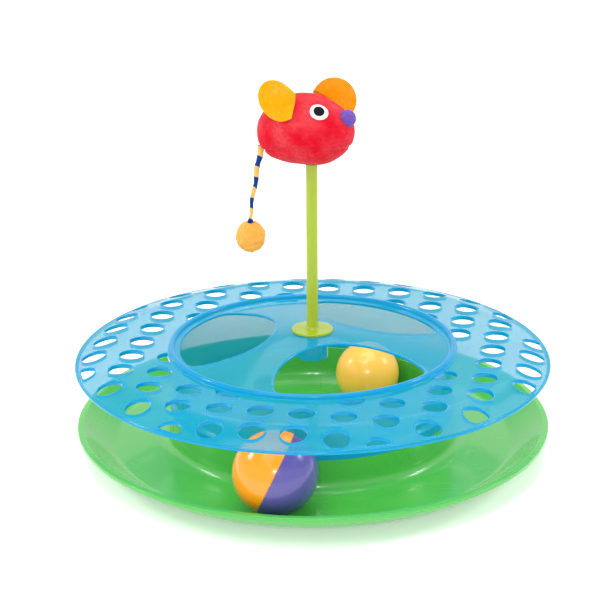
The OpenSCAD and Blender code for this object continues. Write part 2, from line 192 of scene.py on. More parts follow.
class ToyMouseSizes(bpy.types.PropertyGroup):
    """Sizes of the stuffed mouse and its tail"""

    belly_z: length("Belly height", 218.54, "Height of the mouse's belly")
    turn: angle("Mouse turn", -25, "Turn of the mouse on its post")
    long: length("Mouse length", 72, "Length of the mouse")
    high: length("Mouse height", 50, "Height of the mouse")
    wide: length("Mouse width", 45, "Width of the mouse")
    ear_d: length("Ear diameter", 30, "Diameter of an ear")
    ear_t: length("Ear thickness", 1.6, "Thickness of the ears' felt")
    eye_d: length("Eye diameter", 12.2, "Diameter of the white of an eye")
    pupil_d: length("Pupil diameter", 7, "Diameter of a pupil")
    patch_t: length("Patch thickness", 0.8, "Thickness of an eye's patches")
    nose_d: length("Nose diameter", 12.5, "Diameter of the nose")
    tail_root_d: length("Tail root", 4.8, "Diameter of the tail at the mouse")
    tail_end_d: length("Tail end", 2.6, "Diameter of the tail at the knot")
    tail_length: length("Tail length", 55.64, "Length of the tail's cord")
    knot_d: length("Knot diameter", 4.6, "Diameter of the knot")
    tail_ball_d: length("Tail ball", 22, "Diameter of the tail's ball")


class ToyColours(bpy.types.PropertyGroup):
    """Colours of the mouldings and cloths"""

    green: colour("Base green", (70, 176, 68), "Green of the base moulding")
    blue: colour("Lid blue", (0, 146, 176), "Blue of the clear lid")
    deep_blue: colour("Lid edge blue", (0, 138, 188), "Blue of the lid along its edges")
    lime: colour("Post lime", (154, 176, 8), "Lime of the post")
    orange: colour("Ball orange", (244, 150, 8), "Orange of the outer ball's half")
    # Painted light: the inner ball's orange is paler than the outer ball's, standing in for light that falls into the
    # bowl.
    inner_orange_painted_lighter: colour("Inner ball orange, painted lighter", (255, 194, 76), "Orange of the inner ball, painted lighter to stand in for light in the bowl")
    purple: colour("Ball purple", (84, 76, 152), "Purple of the outer ball's half")
    rubber: colour("Pad grey", (58, 60, 62), "Grey of the rubber pads")
    red: colour("Mouse red", (214, 44, 58), "Red of the mouse's plush")
    ear_front: colour("Ear yellow", (246, 160, 12), "Felt of the near ear")
    ear_back: colour("Ear orange", (244, 146, 20), "Felt of the far ear")
    nose: colour("Nose purple", (112, 82, 172), "Felt of the nose")
    cream: colour("Cord yellow", (230, 186, 104), "Light bands of the tail")
    navy: colour("Cord blue", (0, 56, 132), "Dark bands of the tail and its knot")
    fleece: colour("Tail ball tan", (246, 176, 86), "Fleece of the tail's ball")


class ToyStage(bpy.types.PropertyGroup):
    """Camera, floor and lights"""

    distance: length("Camera distance", 1394, "Distance of the camera from its aim")
    elevation: angle("Camera elevation", 19.57, "Angle of the camera above the horizon")
    roll: angle("Camera roll", 0.4, "Roll of the picture")
    aim: vector("Camera aim", (-0.009, 0.0, 0.115), "Point at which the camera looks")
    lens_px: number("Focal length", 1904, "Focal length in pixels of a picture 600 wide")
    world: number("Room light", 1, "Strength of the even room light")
    glow: number("Floor glow", 0.3, "Light that the floor gives off as a light table")
    floor: number("Floor paleness", 0.93, "Grey value of the pale floor", max=1)


PROPERTY_GROUPS = {
    "toy_tray": ToyTraySizes,
    "toy_lid": ToyLidSizes,
    "toy_post": ToyPostSizes,
    "toy_balls": ToyBallSizes,
    "toy_mouse": ToyMouseSizes,
    "toy_colours": ToyColours,
    "toy_stage": ToyStage,
}


# Surfaces as arrays


def unit(vectors):
    """Vectors of length 1 in the same directions."""
    return vectors / np.linalg.norm(vectors, axis=-1, keepdims=True)


def angles(count):
    """Even angles round a circle: 2 pi i / count."""
    return TAU * np.arange(count) / count


def arc(centre, radius, start, end, steps):
    """Points centre + radius (cos a, sin a) while a goes evenly from start to end, in degrees."""
    a = np.radians(np.linspace(start, end, steps + 1))
    return np.array(centre) + radius * np.stack([np.cos(a), np.sin(a)], -1)


def ring_of(radius, steps=TURN_STEPS):
    """Even points on a circle round the axis: radius (cos a, sin a)."""
    a = angles(steps)
    return radius * np.stack([np.cos(a), np.sin(a)], -1)


def swept(start, towards, end, steps):
    """Parabola from start to end that leaves and arrives in the direction of towards."""
    t = np.linspace(0, 1, steps + 1)[:, None]
    a, b, c = (np.array(p, float) for p in (start, towards, end))
    return (1 - t) ** 2 * a + 2 * t * (1 - t) * b + t ** 2 * c


def rounded(corners, steps=4):
    """Line through corners (r, z, round) in which each corner is a parabola between the two points that
    lie `round` away from it on its edges."""
    c = np.array([tuple(p) + (0,) * (3 - len(p)) for p in corners], float)
    p, d = c[:, :2], c[:, 2:]
    back, ahead = unit(np.roll(p, 1, 0) - p), unit(np.roll(p, -1, 0) - p)
    t = np.linspace(0, 1, steps + 1)[None, :, None]
    a, m, b = (p + back * d)[:, None], p[:, None], (p + ahead * d)[:, None]
    line = ((1 - t) ** 2 * a + 2 * t * (1 - t) * m + t ** 2 * b).reshape(-1, 2)
    moved = np.linalg.norm(np.diff(line, axis=0), axis=1) > 1e-7
    return line[np.concatenate([[True], moved])]


def smooth_rows(rows, steps):
    """Rows between the given ones on a smooth line (Catmull-Rom): half of the cubic through each four."""
    a, b, c, d = (x[:, None] for x in (rows[:-3], rows[1:-2], rows[2:-1], rows[3:]))
    t = np.linspace(0, 1, steps, endpoint=False)[None, :, None]
    line = (2 * b + (c - a) * t + (2 * a - 5 * b + 4 * c - d) * t ** 2 + (3 * b - a - 3 * c + d) * t ** 3) / 2
    return np.concatenate([line.reshape(-1, rows.shape[1]), rows[-2:-1]])


def turned(profile, steps=TURN_STEPS):
    """Rows of points where each profile point (r, z) goes round the upright axis: x = r cos a, y = r sin a."""
    a = angles(steps)
    r, z = profile[:, :1], profile[:, 1:2]
    return np.stack([r * np.cos(a), r * np.sin(a), z + 0 * a], -1)


def tube(path, across, up, radii, sides):
    """Rings of points round a path: point + radius (cos a across + sin a up)."""
    a = angles(sides)[None, :, None]
    return path[:, None] + radii * (np.cos(a) * across[:, None] + np.sin(a) * up[:, None])


def grid_quads(rows, cols, start=0, close_rows=False):
    """Quads between neighbours of a grid of points that is stored row by row from index start."""
    i = np.arange(rows if close_rows else rows - 1)[:, None]
    j = np.arange(cols)[None, :]
    i2, j2 = (i + 1) % rows, (j + 1) % cols
    return start + np.stack([i * cols + j, i * cols + j2, i2 * cols + j2, i2 * cols + j], -1).reshape(-1, 4)


def lattice_noise(points, size, seed):
    """Smooth noise from -1 to 1: random values on a cubic lattice of that size, blended between the eight
    nearest lattice points with weights 3 t^2 - 2 t^3."""
    table = np.random.RandomState(seed).uniform(-1, 1, NOISE_CELLS)
    flat = points.reshape(-1, 3) / size
    cell = np.floor(flat).astype(int)
    t = flat - cell
    t = t * t * (3 - 2 * t)
    value = np.zeros(len(flat))
    for corner in range(8):
        step = np.array([corner & 1, corner >> 1 & 1, corner >> 2 & 1])
        index = np.bitwise_xor.reduce((cell + step) * NOISE_PRIMES, axis=1) % NOISE_CELLS
        value += np.prod(np.where(step == 1, t, 1 - t), axis=1) * table[index]
    return value.reshape(points.shape[:-1])


class Surface:
    """Points, faces and one weight per point of a piece that is put together from several surfaces."""

    def __init__(self):
        self.points, self.weights, self.quads, self.tris, self.count = [], [], [], [], 0

    def add(self, points, quads=None, tris=None, weight=0.0):
        """Adds points and the faces between them."""
        points = np.asarray(points, float).reshape(-1, 3)
        for faces, more in ((self.quads, quads), (self.tris, tris)):
            if more is not None:
                faces.append(np.asarray(more, int) + self.count)
        self.points.append(points)
        self.weights.append(np.broadcast_to(np.asarray(weight, float), (len(points),)))
        self.count += len(points)

    def turn(self, profile, weight=0.0):
        """Adds the surface that a profile makes when it is turned round the upright axis."""
        weight = np.broadcast_to(np.asarray(weight, float), (len(profile),))
        self.add(turned(profile), grid_quads(len(profile), TURN_STEPS), weight=np.repeat(weight, TURN_STEPS))

    def place(self, matrix):
        """Moves every point by a 4 by 4 matrix."""
        m = np.array(matrix)
        self.points = [p @ m[:3, :3].T + m[:3, 3] for p in self.points]

    def mesh(self, name, sharp):
        """Mesh of the surface, with doubles merged, faces outward and edges over that angle kept sharp."""
        points = np.concatenate(self.points)
        quads = np.concatenate(self.quads) if self.quads else np.zeros((0, 4), int)
        tris = np.concatenate(self.tris) if self.tris else np.zeros((0, 3), int)
        mesh = bpy.data.meshes.new(name)
        mesh.vertices.add(len(points))
        mesh.vertices.foreach_set("co", points.astype(np.float32).ravel())
        corners = np.concatenate([quads.ravel(), tris.ravel()]).astype(np.int32)
        mesh.loops.add(len(corners))
        mesh.loops.foreach_set("vertex_index", corners)
        sizes = np.concatenate([np.full(len(quads), 4), np.full(len(tris), 3)])
        mesh.polygons.add(len(sizes))
        mesh.polygons.foreach_set("loop_start", (np.cumsum(sizes) - sizes).astype(np.int32))
        mesh.update(calc_edges=True)
        layer = mesh.attributes.new("solid", "FLOAT", "POINT")
        layer.data.foreach_set("value", np.concatenate(self.weights).astype(np.float32))
        bm = bmesh.new()
        bm.from_mesh(mesh)
        bmesh.ops.remove_doubles(bm, verts=bm.verts, dist=MERGE_DISTANCE)
        bmesh.ops.recalc_face_normals(bm, faces=bm.faces)
        bm.to_mesh(mesh)
        bm.free()
        mesh.shade_smooth()
        if sharp:
            mesh.set_sharp_from_angle(angle=math.radians(sharp))
        mesh.update()
        return mesh


def surface_of(grid, matrix, close_rows=False):
    """Surface of one grid of points, moved by a matrix."""
    shape = Surface()
    shape.add(grid, grid_quads(*grid.shape[:2], close_rows=close_rows))
    shape.place(matrix)
    return shape


def add_object(name, data):
    """A new object in the scene for a mesh, camera or light."""
    made = bpy.data.objects.new(name, data)
    bpy.context.scene.collection.objects.link(made)
    return made


def put(name, shape, material, body, slot, *nodes, sharp=0):
    """Adds a finished piece to the scene, on its body and in place of its CAD nodes."""
    piece = add_object(name, shape.mesh(name, sharp))
    piece.data.materials.append(material)
    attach(piece, body)
    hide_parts(*nodes)
    return piece


# Materials


def fill(tree, target, inputs):
    """Sets a node's inputs to values, or links them where a socket is given."""
    for key, value in inputs.items():
        if isinstance(value, bpy.types.NodeSocket):
            tree.links.new(value, target.inputs[key])
        else:
            target.inputs[key].default_value = value


def node(tree, kind, inputs=None, **settings):
    """A new shader node with its settings and inputs."""
    made = tree.nodes.new("ShaderNode" + kind)
    for key, value in settings.items():
        setattr(made, key, value)
    fill(tree, made, inputs or {})
    return made


def calc(tree, operation, *values, clamp=False):
    """Result of a Math node."""
    return node(tree, "Math", dict(enumerate(values)), operation=operation, use_clamp=clamp).outputs[0]


def ranged(tree, value, low=0.0, high=1.0, to_low=0.0, to_high=1.0):
    """Value carried evenly from one range to another and held inside it."""
    return node(tree, "MapRange", {
        "Value": value, "From Min": low, "From Max": high, "To Min": to_low, "To Max": to_high}).outputs[0]


def noise(tree, scale, detail, where=None, **more):
    """Noise from 0 to 1, on Object coordinates or at a given place."""
    if where is None:
        where = node(tree, "TexCoord").outputs["Object"]
    return node(tree, "TexNoise", {"Vector": where, "Scale": scale, "Detail": detail, **more}).outputs[0]


def tinted(tree, rgb, value, saturation=1.0):
    """Colour with its brightness and saturation multiplied."""
    return node(tree, "HueSaturation", {"Color": rgb, "Value": value, "Saturation": saturation}).outputs[0]


def mixed(tree, share, first, second):
    """Colour that goes from the first to the second as share goes from 0 to 1."""
    return node(tree, "Mix", {"Factor": share, 6: first, 7: second}, data_type="RGBA").outputs[2]


def group(name, inputs):
    """An empty node group that puts out a colour, a roughness and a height: its tree, the sockets that bring
    its inputs, and its output node."""
    tree = bpy.data.node_groups.new(name, "ShaderNodeTree")
    sockets = [(label, "INPUT", value) for label, value in inputs.items()]
    sockets += [("Colour", "OUTPUT", (0, 0, 0, 1)), ("Roughness", "OUTPUT", 0.0), ("Height", "OUTPUT", 0.0)]
    for label, way, value in sockets:
        kind = "NodeSocketColor" if isinstance(value, tuple) else "NodeSocketFloat"
        tree.interface.new_socket(name=label, in_out=way, socket_type=kind).default_value = value
    return tree, tree.nodes.new("NodeGroupInput").outputs, tree.nodes.new("NodeGroupOutput")


def moulded_group():
    """Injection-moulded plastic: broad uneven tint, fine drawn-out scuffs and an orange-peel skin."""
    tree, given, end = group("Moulded skin", {
        "Colour": (0.5, 0.5, 0.5, 1), "Uneven": 0.06, "Gloss": 0.3, "Scuffs": 0.08})
    where = node(tree, "TexCoord").outputs["Object"]
    long = node(tree, "Mapping", {"Vector": where, "Scale": (60, 900, 300)}).outputs[0]
    scuffs = ranged(tree, noise(tree, 1.0, 5.0, long), 0.58, 0.78)
    worn = calc(tree, "MULTIPLY", scuffs, given["Scuffs"])
    lift = ranged(tree, noise(tree, 14.0, 3.0), 0.3, 0.7, -1.0, 1.0)
    value = calc(tree, "MULTIPLY_ADD", lift, given["Uneven"], 1.0)
    fill(tree, end, {
        "Colour": tinted(tree, given["Colour"], value),
        "Roughness": calc(tree, "MULTIPLY_ADD", lift, 0.03, calc(tree, "ADD", given["Gloss"], worn), clamp=True),
        "Height": calc(tree, "MULTIPLY_ADD", worn, -1.5, noise(tree, 900.0, 2.0))})
    return tree


def pile_group():
    """Short cloth pile: clumps of fibre, with painted shade in the gaps between them where the colour goes to the
    Dark input, and broad mottles where the nap lies another way."""
    tree, given, end = group("Cloth pile", {
        "Colour": (0.5, 0.1, 0.1, 1), "Dark": (0.2, 0.02, 0.02, 1), "Size": 900.0, "Clumps": 160.0,
        "Contrast": 0.5, "Mottle": 0.0})
    height = calc(tree, "ADD", noise(tree, given["Size"], 4.0, Roughness=0.65),
                  noise(tree, given["Clumps"], 3.0, Distortion=0.6))
    raised = ranged(tree, height, 0.78, 1.16)
    share = calc(tree, "MULTIPLY_ADD", calc(tree, "SUBTRACT", raised, 1.0), given["Contrast"], 1.0, clamp=True)
    lift = ranged(tree, noise(tree, 70.0, 3.0), 0.3, 0.7, -1.0, 1.0)
    lift = calc(tree, "MULTIPLY", lift, given["Mottle"])
    nap = tinted(tree, given["Colour"], calc(tree, "ADD", lift, 1.0), calc(tree, "SUBTRACT", 1.0, lift))
    fill(tree, end, {
        # Painted shade: where the pile is low, the colour goes to the Dark input.
        "Colour": mixed(tree, share, given["Dark"], nap),
        "Roughness": ranged(tree, raised, to_low=1.0, to_high=0.86), "Height": height})
    return tree


SKINS = {"Moulded skin": moulded_group, "Cloth pile": pile_group}


def blank(name):
    """A new material, its node tree and its Principled shader."""
    made = bpy.data.materials.new(name)
    made.use_nodes = True
    return made, made.node_tree, made.node_tree.nodes["Principled BSDF"]


def skinned(name, skin_name, inputs, strength, depth, values):
    """A new material whose shader takes its colour, roughness and bump from a shared node group, and other
    values as given: the material, its tree, its shader and the group's outputs."""
    made, tree, shader = blank(name)
    shared = bpy.data.node_groups.get(skin_name) or SKINS[skin_name]()
    skin = node(tree, "Group", inputs, node_tree=shared).outputs
    bump = node(tree, "Bump", {"Height": skin["Height"], "Strength": strength, "Distance": depth})
    fill(tree, shader, {"Base Color": skin["Colour"], "Roughness": skin["Roughness"],
                        "Normal": bump.outputs[0], **values})
    return made, tree, shader, skin


def moulded(name, rgb, gloss=0.3, uneven=0.06, scuffs=0.08, bump=0.012, coat=0.0, level=0.5):
    """Moulded plastic in one colour."""
    inputs = {"Colour": (*rgb, 1), "Uneven": uneven, "Gloss": gloss, "Scuffs": scuffs}
    return skinned(name, "Moulded skin", inputs, 0.25, bump * MM, {
        "Coat Weight": coat, "Coat Roughness": 0.08, "Specular IOR Level": level})[0]


def cloth(name, rgb, gap_shade, size, clumps, contrast, bump, sheen, rough_sheen=0.4, mottle=0.03):
    """Plush, felt or fleece in one colour, with painted shade in the gaps between its fibres, in a darker 8-bit
    colour.
    """
    inputs = {"Colour": (*rgb, 1), "Dark": (*srgb(*gap_shade), 1), "Size": size, "Clumps": clumps,
              "Contrast": contrast, "Mottle": mottle}
    return skinned(name, "Cloth pile", inputs, 0.6, bump * MM, {
        "Specular IOR Level": 0.15, "Sheen Weight": sheen, "Sheen Roughness": rough_sheen,
        "Sheen Tint": (*[min(1, c * 0.6 + 0.4) for c in rgb], 1)})[0]


def clear_lid_material(colours):
    """Clear tinted plastic: pale and see-through on broad faces, deeper along edges and where it is seen
    at a slant, with the solid attribute marking rims, beads and cut edges. It holds back little of the light
    that falls through it. It also glows faintly in its own blue: painted light that stands in for light
    scattered inside the plastic."""
    inputs = {"Colour": (*colours.blue, 1), "Uneven": 0.05, "Gloss": 0.12, "Scuffs": 0.1}
    # Emission Strength paints a faint glow of the lid's blue, as light scattered inside the plastic.
    made, tree, shader, skin = skinned("lid_clear_blue", "Moulded skin", inputs, 0.2, 0.01 * MM, {
        "Emission Strength": 0.13, "IOR": 1.49, "Specular IOR Level": 0.22, "Coat Weight": 0.12,
        "Coat Roughness": 0.06})
    solid = node(tree, "Attribute", attribute_name="solid").outputs["Fac"]
    slant = node(tree, "LayerWeight", {"Blend": 0.5}).outputs["Facing"]
    thin = ranged(tree, calc(tree, "POWER", slant, 2.2), to_low=0.52, to_high=0.78)
    alpha = calc(tree, "ADD", thin, ranged(tree, solid, to_high=0.55), clamp=True)
    path = node(tree, "LightPath").outputs
    passing = calc(tree, "MAXIMUM", path["Is Shadow Ray"], path["Is Diffuse Ray"])
    held_back = ranged(tree, passing, to_low=1.0, to_high=0.04)
    tint = mixed(tree, solid, skin["Colour"], (*colours.deep_blue, 1))
    # Painted light: the lid's blue also feeds Emission Color, so the lid glows though it is no lamp.
    fill(tree, shader, {
        "Base Color": tint, "Emission Color": tint, "Alpha": calc(tree, "MULTIPLY", alpha, held_back)})
    return made


def twisted_cord_material(colours):
    """Twisted cord dyed in bands: the piece's UV counts the bands along it and goes once round it, and the
    bands' edges follow the twist: sin(pi (u + 0.12 sin(2 pi v)))."""
    made, tree, shader = blank("tail_twisted_cord")
    u, v, _ = node(tree, "SeparateXYZ", {0: node(tree, "UVMap", uv_map="along").outputs[0]}).outputs
    twist = calc(tree, "SINE", calc(tree, "MULTIPLY", v, TAU))
    band = calc(tree, "MULTIPLY_ADD", twist, 0.12, u)
    wave = calc(tree, "SINE", calc(tree, "MULTIPLY", band, math.pi))
    yarn = calc(tree, "SUBTRACT", calc(tree, "MULTIPLY", u, 50.0), calc(tree, "MULTIPLY", v, 14.0))
    fuzz = noise(tree, 1500.0, 3.0)
    dye = mixed(tree, ranged(tree, wave, -0.12, 0.12), (*colours.navy, 1), (*colours.cream, 1))
    height = calc(tree, "ADD", calc(tree, "SINE", yarn), fuzz)
    bump = node(tree, "Bump", {"Height": height, "Strength": 0.5, "Distance": 0.2 * MM})
    fill(tree, shader, {
        "Base Color": tinted(tree, dye, ranged(tree, fuzz, to_low=0.7, to_high=1.3)),
        "Normal": bump.outputs[0], "Roughness": 0.9, "Specular IOR Level": 0.2, "Sheen Weight": 0.05})
    return made


# Base


def tray_profile(s):
    """Outline (r, z) of the base moulding, turned round the axis: underside, flared channel wall, lip, track
    floor, bowl wall and bowl floor."""
    under, lip_under = s.floor_z - s.wall, s.rim_z - s.lip_h
    rim_in, bowl_in = s.radius - s.lip_w, s.bowl_r - s.bowl_wall
    bend = (rim_in - s.flat_r) / 4
    lip_slope = np.array([1.2, 1.0]) * MM
    bowl_rim_round, foot_round = 0.8 * MM, 13 * MM
    floor_start = 1 * MM
    return np.concatenate([
        [[0, under]],
        swept((s.flat_r + s.wall, under), (s.flat_r + 2 * bend, under), (s.radius - s.wall, lip_under), 14),
        rounded([(s.radius - s.wall, lip_under), (s.radius, lip_under, 0.5 * MM),
                 (s.radius, s.rim_z, 1.1 * MM), (rim_in, s.rim_z, 0.7 * MM),
                 (rim_in - lip_slope[0], s.rim_z - lip_slope[1])])[1:-1],
        swept((s.flat_r, s.floor_z), (s.flat_r + bend, s.floor_z), (rim_in, s.rim_z), 16)[-2::-1],
        rounded([(s.flat_r - floor_start, s.floor_z), (s.bowl_r, s.floor_z, foot_round),
                 (s.bowl_r, s.bowl_rim_z, bowl_rim_round), (bowl_in, s.bowl_rim_z, bowl_rim_round),
                 (bowl_in, s.floor_z + s.bowl_round)], 8)[1:-1],
        arc((bowl_in - s.bowl_round, s.floor_z + s.bowl_round), s.bowl_round, 0, -90, 12),
        [[0, s.floor_z]],
    ])


def foot_places(s):
    """The number and the matrix of each of the four feet, which stand between the axes."""
    for quarter in range(4):
        turn = Matrix.Rotation(math.radians(45 + 90 * quarter), 4, "Z")
        yield quarter + 1, turn @ Matrix.Translation((s.pad_reach, 0, 0))


class CATTOY_OT_base(bpy.types.Operator):
    """Builds the green base moulding with its track, bowl and foot bosses"""

    bl_idname = "cattoy.base"
    bl_label = "Base moulding"

    def execute(self, context):
        s, colours = context.scene.toy_tray, context.scene.toy_colours
        shape = Surface()
        shape.turn(tray_profile(s))
        pad_r, boss_r = s.pad_d / 2, s.pad_d / 2 + s.wall
        root_z = s.floor_z - s.wall + 1 * MM
        boss = rounded([(0, root_z), (boss_r, root_z), (boss_r, s.pad_t, 0.6 * MM),
                        (pad_r, s.pad_t, 0.2 * MM), (pad_r, s.pad_t / 2), (0, s.pad_t / 2)])
        for _, place in foot_places(s):
            foot = surface_of(turned(boss, FOOT_STEPS), place)
            shape.add(foot.points[0], foot.quads[0])
        green = moulded("base_green_plastic", colours.green, gloss=0.26, uneven=0.03, scuffs=0.02, coat=0.5)
        put("base_moulding", shape, green, "base", "green_plastic", "base_tray", "ball_bowl", sharp=HARD_ANGLE)
        return {"FINISHED"}


class CATTOY_OT_feet(bpy.types.Operator):
    """Builds the four rubber foot pads"""

    bl_idname = "cattoy.feet"
    bl_label = "Foot pads"

    def execute(self, context):
        s, colours = context.scene.toy_tray, context.scene.toy_colours
        rubber = moulded("pad_rubber", colours.rubber, gloss=0.75, uneven=0.12, scuffs=0.2, bump=0.06, level=0.3)
        r = s.pad_d / 2 - 0.05 * MM
        dish = 0.4 * MM
        side = rounded([(0, s.pad_t), (r, s.pad_t), (r, 0, 0.8 * MM), (r * 0.72, 0, 0.3 * MM),
                        (r * 0.68, dish, 0.3 * MM), (0, dish)])
        for count, place in foot_places(s):
            pad = surface_of(turned(side, FOOT_STEPS), place)
            put(f"rubber_pad_{count}", pad, rubber, "base", "pad_rubber", f"foot_pad_{count}", sharp=HARD_ANGLE)
        return {"FINISHED"}


# Lid

# Points round a hole and an opening, and the powers that round their corners: the higher, the sharper
HOLE_STEPS, HOLE_POWER = 48, 40
OPENING_STEPS, OPENING_POWER = 200, 24
# Millimetres from the bend at which the deck and skirt have rings of points
BEND_RINGS = (-5, -2.5, -1, 0.5, 2, 4.5, 12)
# Weights of the attribute that marks thick and cut plastic
BEAD_WEIGHT, RING_WEIGHT, OPENING_WEIGHT, SOCKET_WEIGHT = 0.9, 0.8, 0.9, 0.35
DRUM_WEIGHT, DRUM_FOOT_WEIGHT = 0.1, 0.5


def star_outlines(centres, hubs, radius, inner, outer, count, power):
    """Outlines of discs cut off by a circle inside and one outside, both round the axis. From a hub point in
    each shape, count rays leave at even angles, and each meets the three circles at
    t = -b + sqrt(b^2 - c) on leaving a circle and t = -b - sqrt(b^2 - c) on entering one, with b = p.d and
    c = p.p - r^2. The ray stops at (sum of t^-n)^(-1/n), which is the nearest with the corners rounded."""
    ray = ring_of(1, count)

    def meets(start, r, entering=False):
        b = start @ ray.T
        root = b ** 2 - (np.sum(start ** 2, -1) - r ** 2)[:, None]
        t = -b + np.where(entering, -1, 1) * np.sqrt(np.maximum(root, 0))
        return np.where((root > 0) & (t > 0), t, np.inf)

    t = np.stack([meets(hubs - centres, radius), meets(hubs, outer), meets(hubs, inner, entering=True)])
    first = t.min(0)
    t = first * np.sum((first / t) ** power, 0) ** (-1 / power)
    return hubs[:, None] + t[..., None] * ray


def in_star(points, hub, outline):
    """True where a point lies inside an outline whose points stand at even angles round its hub."""
    count = len(outline)
    p = points - hub
    i = np.floor(np.arctan2(p[:, 1], p[:, 0]) % TAU / TAU * count).astype(int) % count
    a, b = outline[i] - hub, outline[(i + 1) % count] - hub
    edge, step = b - a, p - a
    return edge[:, 0] * step[:, 1] - edge[:, 1] * step[:, 0] > 0


def cut_sheet(inner, outer, hubs, outlines, inside, height):
    """A flat ring between two circles with outlines cut out of it and points inside it, filled with triangles
    (constrained Delaunay) and then lifted: z = height(r)."""
    holes, count = outlines.shape[:2]
    rim = np.concatenate([ring_of(inner), ring_of(outer)])
    flat = np.concatenate([rim, outlines.reshape(-1, 2), inside])
    steps = np.arange(TURN_STEPS)
    loops = [np.stack([steps + k, (steps + 1) % TURN_STEPS + k], -1) for k in (0, TURN_STEPS)]
    i = np.arange(holes)[:, None] * count + len(rim)
    j = np.arange(count)[None, :]
    loops.append(np.stack([i + j, i + (j + 1) % count], -1).reshape(-1, 2))
    made = delaunay_2d_cdt(flat.tolist(), np.concatenate(loops).tolist(), [], 0, 1e-7)
    points, tris = np.array(made[0], float).reshape(-1, 2), np.array(made[2], int)
    middle = points[tris].mean(1)
    away = np.linalg.norm(middle, axis=1)
    keep = (away > inner * math.cos(math.pi / TURN_STEPS)) & (away < outer)
    for hub, outline in zip(hubs, outlines):
        keep &= ~in_star(middle, hub, outline)
    return np.column_stack([points, height(np.linalg.norm(points, axis=1))]), tris[keep]


def clear_of(points, hubs, outlines, margin):
    """The points that stay that far outside every outline."""
    keep = np.ones(len(points), bool)
    for hub, outline in zip(hubs, outlines):
        away = outline - hub
        keep &= ~in_star(points, hub, outline + margin * unit(away))
    return points[keep]


def between(points, inner, outer):
    """The points between two circles round the axis."""
    away = np.linalg.norm(points, axis=1)
    return points[(away > inner) & (away < outer)]


def cut_walls(outline_at, top, bottom, round_r, steps):
    """Walls of cut-outs with rounded rims. Over a quarter turn the outline is round_r (1 - sin a) wider and
    round_r (1 - cos a) below the top face, and the same again above the bottom face."""
    a = np.radians(np.linspace(0, 90, steps + 1))
    wide, deep = round_r * (1 - np.sin(a)), round_r * (1 - np.cos(a))
    rings = [np.dstack([o := outline_at(w), top(np.linalg.norm(o, axis=-1)) - d]) for w, d in zip(wide, deep)]
    rings += [np.dstack([o := outline_at(w), bottom(np.linalg.norm(o, axis=-1)) + d])
              for w, d in zip(wide[::-1], deep[::-1])]
    grid = np.stack(rings, 1)
    holes, rows, count = grid.shape[:3]
    return grid, np.concatenate([grid_quads(rows, count, h * rows * count) for h in range(holes)])


class LidShape:
    """The lid's surfaces as functions of the distance r from the axis, and the lines where they meet."""

    def __init__(self, s):
        self.s = s
        middle = (s.bead_x, s.bead_z)
        self.top_end, self.under_end = (arc(middle, s.bead_r, a, a, 0)[0] for a in (95, 190))
        self.under_z = s.deck_z - s.deck_wall
        self.fillet = 0.55 * MM
        self.band = self.fillet + 0.1 * MM
        self.mid_r = s.ring_r - s.crest_r
        self.dome_out, self.dome_in = s.edge_r - 0.7 * MM, s.hub_r + 1 * MM

    def ramp(self, r):
        """Distance past the bend, with the bend itself rounded: (x + sqrt(x^2 + c^2)) / 2."""
        x = r - self.s.bend_r
        return (x + np.sqrt(x ** 2 + (3 * MM) ** 2)) / 2

    def deck_top(self, r):
        """Height of the deck's top: level, and past the bend falling evenly with the ramp to the bead."""
        end, z = self.top_end
        return self.s.deck_z - (self.s.deck_z - z) * self.ramp(r) / self.ramp(end)

    def deck_under(self, r):
        """Height of the deck's underside, which falls with the ramp in the same way."""
        end, z = self.under_end
        return self.under_z - (self.under_z - z) * self.ramp(r) / self.ramp(end)

    def dome_top(self, r):
        """Parabola from the dome's edge to the hub: (1-t)^2 z0 + 2 t (1-t) z1 + t^2 z2 with t even in r."""
        s = self.s
        t = (s.edge_r - r) / (s.edge_r - s.hub_r)
        swell_z = s.edge_z + 0.6 * (s.hub_z - s.edge_z)
        return (1 - t) ** 2 * s.edge_z + 2 * t * (1 - t) * swell_z + t ** 2 * s.hub_z

    def dome_under(self, r):
        """Height of the dome's underside: its top less the wall."""
        return self.dome_top(r) - self.s.wall


def lid_holes(s, clip_in, clip_out):
    """Middles and hub points of the holes: a turned square grid, kept where a hole reaches the ring between
    the two clip circles."""
    span = math.ceil(s.bead_x / s.hole_pitch) + 1
    i, j = np.meshgrid(np.arange(-span, span + 1), np.arange(-span, span + 1), indexing="ij")
    grid = np.stack([i.ravel(), j.ravel()], -1) * s.hole_pitch + np.array(s.hole_shift)
    grid = between(grid, clip_in - s.hole_r / 3, clip_out + s.hole_r / 3)
    c, n = math.cos(s.hole_turn), math.sin(s.hole_turn)
    centres = grid @ np.array([[c, n], [-n, c]])
    away = np.linalg.norm(centres, axis=1, keepdims=True)
    return centres, centres * np.clip(away, clip_in + 3 * MM, clip_out - 3 * MM) / away


def add_deck(shape, s, form):
    """The perforated deck and skirt: two sheets with the walls of their holes."""
    edge_round = 0.45 * MM
    clip_in, clip_out = s.ring_r + 1.2 * MM, form.under_end[0] - 0.7 * MM
    centres, hubs = lid_holes(s, clip_in, clip_out)

    def outline_at(wide):
        return star_outlines(centres, hubs, s.hole_r + wide, clip_in - wide, clip_out + wide, HOLE_STEPS,
                             HOLE_POWER)

    wide = outline_at(edge_round)
    rings = [ring_of(r * MM + s.bend_r, 240) for r in BEND_RINGS]
    rings = clear_of(np.concatenate(rings + [ring_of(s.bend_r - 20 * MM, 96)]), hubs, wide, margin=1.6 * MM)
    collars = outline_at(edge_round + 0.6 * MM).reshape(-1, 2)
    collars = between(collars, s.ring_r + 2 * form.fillet, form.under_end[0] - 0.3 * MM)
    inside = np.concatenate([rings, collars])
    for inner, outer, height in ((s.ring_r + form.band, form.top_end[0], form.deck_top),
                                 (s.drum_r + form.band, form.under_end[0], form.deck_under)):
        points, tris = cut_sheet(inner, outer, hubs, wide, inside, height)
        shape.add(points, tris=tris)
    grid, quads = cut_walls(outline_at, form.deck_top, form.deck_under, edge_round, 3)
    shape.add(grid, quads, weight=1.0)


